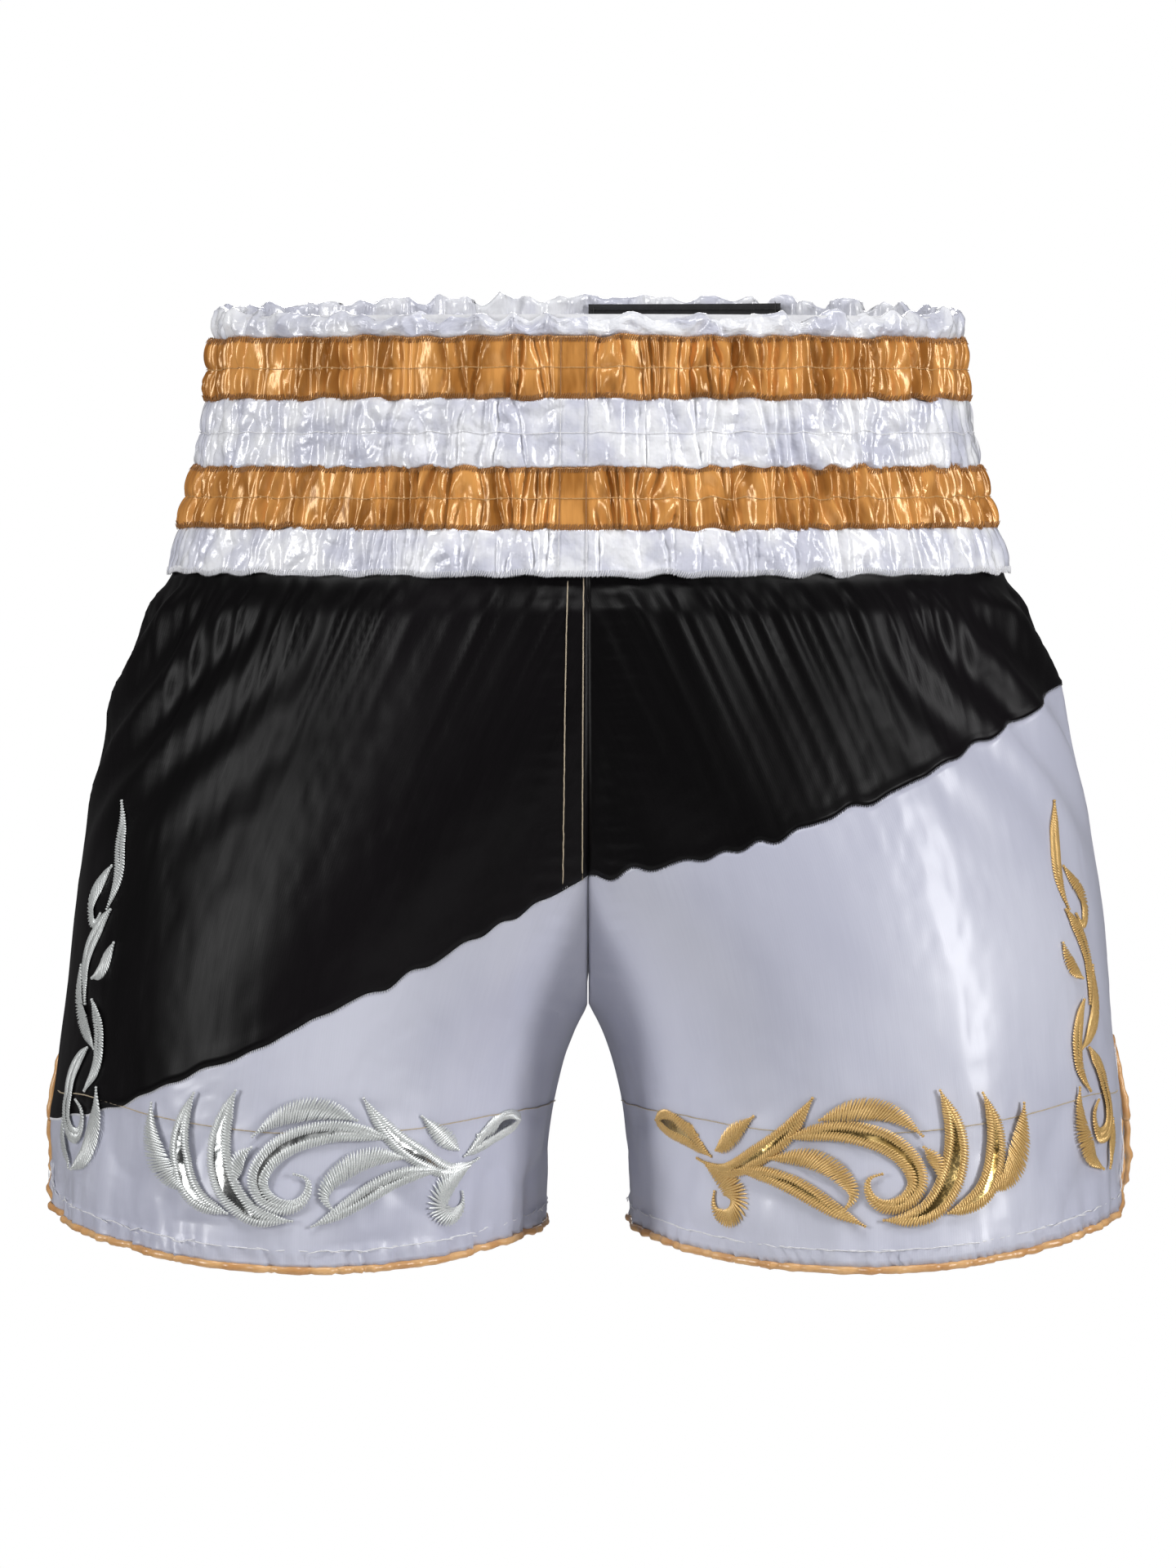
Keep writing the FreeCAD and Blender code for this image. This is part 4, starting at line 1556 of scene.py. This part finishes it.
        tight = smooth(centre, 0.030, 0.004) * smooth(drop, self.shape.crotch + 0.01, self.shape.crotch - 0.02)
        relief = relief + high.crotch * tight * np.sin(drop * 2 * math.pi / 0.0065 + 2 * cloud(base, 30.0, seed))
        border = np.minimum(along, along[:, -1:] - along)
        relief = relief * smooth(border, 0.0, 0.010) - 0.0003 - high.sunk * smooth(depth, 0.015, 0.001)
        if self.half is Half.BACK:
            open_slit = smooth(drop, self.slit_drop, self.slit_drop + 0.03)
            relief = relief + high.lap * smooth(along, 0.045, 0.0) * open_slit
        return relief

    def panels(self) -> None:
        """Makes the black and the white satin, with the seam allowance's ridge between them."""
        row = self.seam_row
        ends = {"upper": (0, row + 1), "lower": (row, len(self.grid))}
        for part, (start, end) in ends.items():
            grid, out = self.grid[start:end].copy(), self.out[start:end]
            ridge = np.zeros(grid.shape[:2])
            if part == "upper":
                ridge[-3:] = np.array([0.00015, 0.0005, 0.00045])[:, None]
            grid = grid + out * ridge[..., None]
            finish = Finish.BLACK_SATIN if part == "upper" else Finish.WHITE_SATIN
            node = f"{self.prefix}_{part}_panel"
            mesh = Mesh.from_grid(grid, self.cut[start:end], flip=self.flip)
            piece = mesh.piece(f"{self.prefix}_{part}_satin", finish)
            thicken(piece, 0.0004)
            ride(piece, "black_satin" if part == "upper" else "white_satin", node)
            wide = float(np.ptp(self.along[start:end], axis=1).max())
            tall = float(np.ptp(self.drop[start:end]))
            cut_area(grid, wide, tall)
            LOG.info("%s: %d points", piece.name, grid[..., 0].size)

    def facing(self) -> None:
        """Makes the deep facing inside the hem."""
        rows = 16
        depth = self.facing_depth - self.binding
        count = np.linspace(0, 1, rows)[:, None]
        drop = (self.hem_line - depth) + depth * count
        grid = self.under(drop, 0.0010)
        cut = np.stack(np.broadcast_arrays(self.along[-rows:], -drop), -1)
        mesh = Mesh.from_grid(grid, cut, flip=self.flip)
        piece = mesh.piece(f"{self.prefix}_hem_facing_cloth", Finish.FACING)
        thicken(piece, 0.0004)
        ride(piece, "white_facing", f"{self.prefix}_hem_facing")
        wide = float(self.along[-1].max())
        cut_area(grid, wide, depth)

    def under(self, drop: np.ndarray, inset: float) -> np.ndarray:
        """The points at a drop in every column, inside the folded cloth."""
        points = np.zeros((*drop.shape, 3))
        for column in range(drop.shape[1]):
            levels = self.drop[:, column]
            for k in range(3):
                skin = self.grid[:, column, k] - self.smooth_out[:, column, k] * inset
                points[:, column, k] = np.interp(drop[:, column], levels, skin)
        return points

    def edge_path(self, inset: float = 0.0) -> tuple[np.ndarray, np.ndarray, np.ndarray]:
        """The cloth's edge from the slit's top round the corner and along the hem, with its directions.

        Args:
            inset: How far in from the edge the path lies.

        Returns:
            The points, the outward directions and the directions across the edge, in the cloth.
        """
        slit = self.drop[:, 0] > self.slit_drop + 0.001
        down = self.grid[slit, 0]
        out = self.smooth_out[slit, 0]
        points = np.concatenate([down[:-1], self.grid[-1]])
        outward = np.concatenate([out[:-1], self.smooth_out[-1]])
        steps = np.linalg.norm(np.diff(points, axis=0), axis=1)
        keep = np.concatenate([[True], steps > 1e-5])
        points, outward = points[keep], outward[keep]
        run = np.concatenate([[0], np.cumsum(np.linalg.norm(np.diff(points, axis=0), axis=1))])
        even = np.linspace(0, run[-1], int(run[-1] / self.edge_step))
        points = np.stack([np.interp(even, run, points[:, k]) for k in range(3)], 1)
        outward = np.stack([np.interp(even, run, outward[:, k]) for k in range(3)], 1)
        for _ in range(3):
            outward[1:-1] = (outward[:-2] + outward[1:-1] * 2 + outward[2:]) / 4
        outward /= np.linalg.norm(outward, axis=1, keepdims=True)
        tangent = np.gradient(points, axis=0)
        tangent /= np.maximum(np.linalg.norm(tangent, axis=1, keepdims=True), 1e-9)
        beyond = np.cross(tangent, outward)
        beyond *= -np.sign(beyond[len(beyond) // 2, 2])
        return points - beyond * inset, outward, beyond

    def bind_edge(self) -> None:
        """Makes the rolled gold binding round the slit and the hem."""
        points, outward, beyond = self.edge_path()
        run = np.arange(len(points)) * self.edge_step
        wave = Ripple(17 + self.side.value + 3 * self.half.value, run[-1], 0.006, 0.03)(run)
        half = self.binding * 0.5
        middle = points + beyond * (half - 0.0003) - outward * 0.0003 + outward * (wave * 0.0002)[:, None]
        wide = np.full(len(points), half) + wave * 0.00008
        high = np.full(len(points), 0.00135) + wave * 0.00012
        mesh = rolled(middle, beyond, outward, wide, high)
        piece = mesh.piece(f"{self.prefix}_hem_binding_cloth", Finish.BINDING_SATIN)
        thicken(piece, 0.0003)
        ride(piece, "gold_binding", f"{self.prefix}_hem_binding")

    def stitching(self) -> None:
        """Lays the hem, facing, seam and centre rows of stitching."""
        points, outward, _ = self.edge_path(0.0062)
        hem_row = Path.even(points[4:-4], outward[4:-4])
        rows = [(f"{self.prefix}_hem_stitches", [hem_row], Finish.WHITE_THREAD, Stitch.TOPSTITCH)]
        seam = Path.even(self.grid[self.seam_row], self.smooth_out[self.seam_row])
        seam_thread = Finish.BLACK_THREAD if self.side is Side.LEFT else Finish.WHITE_THREAD
        rows.append((f"{self.prefix}_seam_overcast", [seam], seam_thread, Stitch.SEAM))
        facing_line = [self.facing_path()]
        rows.append((f"{self.prefix}_facing_stitches", facing_line, Finish.CREAM_THREAD, Stitch.TOPSTITCH))
        if self.side is Side.RIGHT:
            columns = [self.centre_path(0.0016), self.centre_path(0.0074)]
            rows.append((f"{self.half.word}_centre_stitches", columns, Finish.CREAM_THREAD, Stitch.TOPSTITCH))
        for index, (name, paths, thread, stitch) in enumerate(rows):
            piece = self.threads.lay(name, paths, thread, index + 1, **{**stitch.value, "Lift": 0.00018})
            ride(piece, "black_satin" if "centre" in name else "white_satin")

    def facing_path(self) -> Path:
        """The row that holds the facing's top, higher at the side seam."""
        share = self.shares
        lift = 0.049 - 0.008 * smooth(share, 0.25, 0.0) - 0.004 * smooth(share, 0.8, 1.0)
        target = self.hem_line - lift
        return self.path_at(target, slice(14, -2))

    def path_at(self, target: np.ndarray, columns: slice) -> Path:
        """The line at a given drop in every column."""
        points, outward = [], []
        for column in range(len(self.shares))[columns]:
            drops = self.drop[:, column]
            points.append([np.interp(target[column], drops, self.grid[:, column, k]) for k in range(3)])
            outward.append([np.interp(target[column], drops, self.out[:, column, k]) for k in range(3)])
        out = np.array(outward)
        return Path.even(np.array(points), out / np.linalg.norm(out, axis=1, keepdims=True))

    def centre_path(self, distance: float) -> Path:
        """A line down the black satin at a distance from the centre seam."""
        points, outward = [], []
        for row in range(3, self.seam_row):
            whole = self.along[row, -1]
            target = whole - distance
            points.append([np.interp(target, self.along[row], self.grid[row, :, k]) for k in range(3)])
            outward.append([np.interp(target, self.along[row], self.out[row, :, k]) for k in range(3)])
        out = np.array(outward)
        return Path.even(np.array(points), out / np.linalg.norm(out, axis=1, keepdims=True))

    @cached_property
    def surface(self) -> BVHTree:
        """The cloth's surface, for laying things on it."""
        return BVHTree.FromPolygons(self.grid.reshape(-1, 3).tolist(), quads_of(*self.grid.shape[:2]))

    def on_cloth(
        self, along: np.ndarray, drop: np.ndarray, lift: float | np.ndarray = 0.0
    ) -> tuple[np.ndarray, np.ndarray]:
        """Points on the folded cloth, lifted off it, and the outward directions there."""
        base = self.at(along, drop)
        ahead = self.at(along + 0.0005, drop) - base
        below = self.at(along, drop + 0.0005) - base
        out = np.cross(below, ahead) * (-1 if self.flip else 1)
        out /= np.linalg.norm(out, axis=-1, keepdims=True)
        found = base.copy()
        for i in range(len(base)):
            hit = self.surface.ray_cast(Vector(base[i] + out[i] * 0.012), Vector(-out[i]), 0.03)
            if hit[0] is not None:
                found[i] = hit[0]
        return found + out * np.broadcast_to(np.asarray(lift, float), (len(base),))[:, None], out


def centre_fells(shape: WornShape, threads: ThreadTree) -> None:
    """Makes the two felled strips behind the centre seam."""
    for half in Half:
        node = f"{half.word}_centre_seam_fell"
        leg = HalfLeg(shape, threads, Side.RIGHT, half)
        drop = np.linspace(shape.foot + 0.014, 0.2585, 70)[:, None]
        oval = shape.leg(drop)
        whole = oval.length_to(oval.inner_angle())
        back = np.linspace(0.0095, 0.0004, 8)[None]
        grid = leg.at(whole - back, drop, 0.0022)
        cut = np.stack(np.broadcast_arrays(back, -drop), -1)
        piece = Mesh.from_grid(grid, cut, flip=leg.flip).piece(f"{node}_cloth", Finish.BLACK_CLOTH)
        thicken(piece, 0.0005)
        ride(piece, "black_seam_strip", node)
        LOG.info("%s: %d points", piece.name, grid[..., 0].size)


# ------------------------------------------------------------------------------------------------ embroidery


@dataclass(frozen=True)
class Blade:
    """One stroke of scrollwork, in millimetres: the line of its middle, its half width and where it is widest."""

    spine: tuple[tuple[float, float], ...]
    half_width: float
    widest: float = 0.45
    foil: bool = False

    def trace(self, step: float = 1.0) -> tuple[np.ndarray, np.ndarray, np.ndarray]:
        """Its middle line, the direction to its left and its half width, point by point."""
        knots = np.array(self.spine, float)
        lengths = np.concatenate([[0], np.cumsum(np.linalg.norm(np.diff(knots, axis=0), axis=1))])
        across, up = Curve(list(lengths), list(knots[:, 0])), Curve(list(lengths), list(knots[:, 1]))
        count = max(int(lengths[-1] / step), 8)
        run = np.linspace(0, lengths[-1], count)
        line = np.stack([across(run), up(run)], 1)
        tangent = np.gradient(line, axis=0)
        tangent /= np.linalg.norm(tangent, axis=1, keepdims=True)
        left = np.stack([-tangent[:, 1], tangent[:, 0]], 1)
        t = run / lengths[-1]
        power = math.log(0.5) / math.log(self.widest)
        width = self.half_width * np.sin(math.pi * t**power)
        return line, left, np.maximum(width, 0.25)


HEM_SCROLL = (
    Blade(((1, 2), (12, 3), (24, 0), (36, -5)), 4.2, 0.38, True),
    Blade(((14, 7), (22, 3), (30, 2)), 1.5, 0.5),
    Blade(((28, -7), (44, -9), (58, -3), (70, 5), (84, 21)), 3.0, 0.55, True),
    Blade(((33, -9), (44, -13), (50, -20), (45, -26), (37, -24), (37, -18)), 2.3, 0.4),
    Blade(((40, -2), (50, 5), (60, 13)), 1.7, 0.4),
    Blade(((50, -8), (64, -8), (78, -13), (90, -20), (101, -26)), 2.7, 0.5, True),
    Blade(((66, -2), (80, -1), (92, -7), (97, -15), (92, -21)), 1.8, 0.45),
    Blade(
        ((74, 6), (90, 9), (104, 7), (117, -1), (121, -12), (113, -19), (104, -16), (103, -9), (108, -7)),
        3.4, 0.4, True
    ),
    Blade(((86, 13), (100, 17), (114, 14), (124, 6)), 1.9, 0.45),
    Blade(((108, -24), (124, -22), (134, -11), (137, 4), (132, 22)), 4.3, 0.5, True),
    Blade(((124, 2), (129, -4), (130, -12)), 1.3, 0.5),
    Blade(((132, -23), (146, -18), (153, -6), (153, 8), (149, 19)), 3.6, 0.45, True),
    Blade(((150, -17), (160, -12), (166, -2), (168, 12)), 2.3, 0.45),
)

SIDE_SCROLL = (
    Blade(((3, 70), (-2, 56), (-7, 42), (-4, 30)), 2.3, 0.5, True),
    Blade(((-1, 46), (7, 38), (11, 30), (6, 24), (1, 28)), 1.6, 0.45),
    Blade(((-7, 30), (2, 20), (8, 8), (5, -6)), 2.6, 0.45, True),
    Blade(((-14, 18), (-8, 8), (0, 4)), 1.5, 0.45),
    Blade(((12, 8), (11, -6), (2, -16), (-8, -22)), 2.0, 0.45),
    Blade(((-2, -4), (-10, -14), (-12, -28), (-4, -38)), 2.4, 0.45, True),
    Blade(((-2, -22), (8, -30), (14, -42), (9, -54), (0, -54), (-2, -46), (4, -42)), 2.7, 0.4, True),
    Blade(((-14, -36), (-14, -50), (-6, -62), (4, -68)), 2.3, 0.5),
    Blade(((16, -50), (15, -60), (9, -68)), 1.5, 0.5),
)


@dataclass
class Scroll:
    """One embroidered motif on a half leg: metallic satin stitch round foil."""

    leg: HalfLeg
    blades: tuple[Blade, ...]
    node: str
    slot: str
    thread: Finish
    foil: Finish
    along: float
    drop: float
    across: float
    bow: float = 0.0
    column: float = 1.7

    def spot(self, flat: np.ndarray) -> tuple[np.ndarray, np.ndarray]:
        """Where a place on the motif's drawing, in millimetres, is on the leg."""
        along = self.along + flat[..., 0] * self.across * MM
        sag = self.bow * ((flat[..., 0] - 85) / 85) ** 2 if self.bow else 0.0
        return along, self.drop - flat[..., 1] * MM - sag

    def path(self, flat: np.ndarray, width: np.ndarray, lift: float) -> Path:
        """A line of the drawing laid on the cloth."""
        points, out = self.leg.on_cloth(*self.spot(flat), lift)
        return Path(points, out, width * MM)

    def build(self, threads: ThreadTree) -> None:
        """Makes the threads and the foil."""
        paths: list[Path] = []
        foils: list[Mesh] = []
        for order, blade in enumerate(self.blades):
            line, left, width = blade.trace()
            lift = 0.0002 + 0.00012 * order
            if not blade.foil:
                paths.append(self.path(line, width * 2, lift))
                continue
            border = np.minimum(width, self.column)
            for sign in (1, -1):
                edge = line + left * (sign * (width - border / 2))[:, None]
                paths.append(self.path(edge, border + 0.1, lift + (0.0001 if sign > 0 else 0)))
            foils.append(self.ribbon(line, left, width - border * 0.5, lift + 0.0002))
        piece = threads.lay(f"{self.node}_stitches", paths, self.thread, 5, **Stitch.SATIN.value)
        ride(piece, self.slot, self.node)
        faces: list[tuple[int, ...]] = []
        points: list[np.ndarray] = []
        start = 0
        for mesh in foils:
            faces += [tuple(i + start for i in f) for f in mesh.faces]
            points.append(mesh.points)
            start += len(mesh.points)
        foil = Mesh(np.concatenate(points), faces).piece(f"{self.node}_foil", self.foil)
        thicken(foil, 0.00015)
        ride(foil, self.slot)
        LOG.info("%s: %d faces of thread", self.node, len(piece.data.polygons))

    def ribbon(self, line: np.ndarray, left: np.ndarray, width: np.ndarray, lift: float) -> Mesh:
        """The foil between a blade's borders, slightly domed."""
        shares = np.linspace(-1, 1, 5)
        rows = []
        for share in shares:
            flat = line + left * (width * share)[:, None]
            points, _ = self.leg.on_cloth(*self.spot(flat), lift + 0.0002 * (1 - share**2))
            rows.append(points)
        grid = np.stack(rows)
        return Mesh.from_grid(grid, np.zeros((*grid.shape[:2], 2)), flip=not self.leg.flip)


# ---------------------------------------------------------------------------------------------------- studio


@dataclass
class Studio:
    """Camera, lights, a white backdrop and a plain pale floor below the shorts."""

    distance: float = 2.8
    eye_drop: float = 0.051
    aim_drop: float = 0.181
    frame_width: float = 0.448
    glow: float = 0.10
    floor_below: float = 0.6
    floor_width: float = 1.5

    def build(self) -> None:
        """Makes everything that isn't part of the shorts."""
        scene = bpy.context.scene
        scene.view_settings.view_transform = "Standard"
        self.camera(scene)
        self.world(scene)
        self.floor()
        self.light("left", (-2.2, -1.35, 0.35), (0.5, 1.3), 34.0)
        self.light("right", (2.2, -1.35, 0.30), (0.5, 1.3), 41.0)
        self.light("top", (0.1, -1.1, 2.0), (0.9, 0.6), 22.0)
        self.light("low", (0.3, -2.2, -1.1), (1.2, 1.2), 5.0)
        self.light("back", (0.0, 2.6, 0.9), (1.2, 1.0), 34.0)

    def camera(self, scene: bpy.types.Scene) -> None:
        """Makes the camera."""
        data = bpy.data.cameras.new("camera")
        data.sensor_width = 36.0
        view_height = self.frame_width * 1920 / 1440
        spot = Vector((0.0, -self.distance, -self.eye_drop))
        aim = Vector((0.0, 0.0, -self.aim_drop))
        data.lens = data.sensor_width * (aim - spot).length / view_height
        data.clip_start, data.clip_end = 0.1, 50.0
        thing = bpy.data.objects.new("camera", data)
        thing.location = spot
        thing.rotation_euler = (aim - spot).to_track_quat("-Z", "Y").to_euler()
        scene.collection.objects.link(thing)
        scene.camera = thing

    def world(self, scene: bpy.types.Scene) -> None:
        """Makes a white backdrop that gives little light of its own."""
        world = bpy.data.worlds.new("studio")
        world.use_nodes = True
        tree = world.node_tree
        seen = tree.nodes["Background"]
        seen.inputs["Color"].default_value = (1.0, 1.0, 1.0, 1.0)
        seen.inputs["Strength"].default_value = 1.0
        glow = tree.nodes.new("ShaderNodeBackground")
        glow.inputs["Color"].default_value = (1.0, 1.0, 1.0, 1.0)
        glow.inputs["Strength"].default_value = self.glow
        rays = tree.nodes.new("ShaderNodeLightPath")
        mix = tree.nodes.new("ShaderNodeMixShader")
        tree.links.new(rays.outputs["Is Camera Ray"], mix.inputs[0])
        tree.links.new(glow.outputs[0], mix.inputs[1])
        tree.links.new(seen.outputs[0], mix.inputs[2])
        tree.links.new(mix.outputs[0], tree.nodes["World Output"].inputs[0])
        scene.world = world

    def floor(self) -> None:
        """Makes the pale floor."""
        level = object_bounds()[0].z - self.floor_below
        half = self.floor_width / 2
        corners = [(-half, -half, level), (half, -half, level), (half, half, level), (-half, half, level)]
        mesh = bpy.data.meshes.new("floor")
        mesh.from_pydata(corners, [], [(0, 1, 2, 3)])
        s = Surface("pale_floor")
        paper = s.grain(s.place(cloth=False), 3.0)
        s.set(Base_Color=s.mix(paper, (0.90, 0.90, 0.90), (0.94, 0.94, 0.94)), Roughness=0.9, Specular_IOR_Level=0.1)
        mesh.materials.append(s.material)
        thing = bpy.data.objects.new("floor", mesh)
        bpy.context.scene.collection.objects.link(thing)
        thing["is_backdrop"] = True

    def light(
        self, name: str, spot: tuple[float, float, float], size: tuple[float, float], power: float
    ) -> None:
        """Makes one soft light, of a width and a height, that points at the shorts."""
        data = bpy.data.lights.new(name, "AREA")
        data.shape = "RECTANGLE"
        data.size, data.size_y = size
        data.energy = power
        thing = bpy.data.objects.new(name, data)
        thing.location = spot
        aim = Vector((0.0, 0.0, -self.aim_drop)) - Vector(spot)
        thing.rotation_euler = aim.to_track_quat("-Z", "Y").to_euler()
        bpy.context.scene.collection.objects.link(thing)


def write_sizes(first: tuple[Vector, Vector], last: tuple[Vector, Vector]) -> None:
    """Puts the frame's box and the finished box in a dictionary that is not kept."""
    {"cad": [list(first[0]), list(first[1])], "visual": [list(last[0]), list(last[1])]}


def main() -> None:
    """Builds the shorts, then the studio."""
    logging.basicConfig(level=logging.INFO, format="%(message)s")
    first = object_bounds()
    first = (first[0].copy(), first[1].copy())
    shape, threads = WornShape(), ThreadTree()
    Waistband(shape, threads).build()
    for side in Side:
        metal = "gold" if side is Side.LEFT else "silver"
        thread = Finish.GOLD_THREAD if side is Side.LEFT else Finish.SILVER_THREAD
        foil = Finish.GOLD_FOIL if side is Side.LEFT else Finish.SILVER_FOIL
        for half in Half:
            leg = HalfLeg(shape, threads, side, half)
            leg.build()
            slot = f"{metal}_embroidery"
            hem = f"{metal}_hem_applique_{half.word}"
            rise = f"{metal}_side_applique_{half.word}"
            Scroll(leg, HEM_SCROLL, hem, slot, thread, foil, 0.275, 0.312, -1.0, 0.006).build(threads)
            Scroll(leg, SIDE_SCROLL, rise, slot, thread, foil, 0.058, 0.255, -1.0).build(threads)
    centre_fells(shape, threads)
    Studio().build()
    write_sizes(first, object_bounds())


if __name__ == "__main__":
    main()
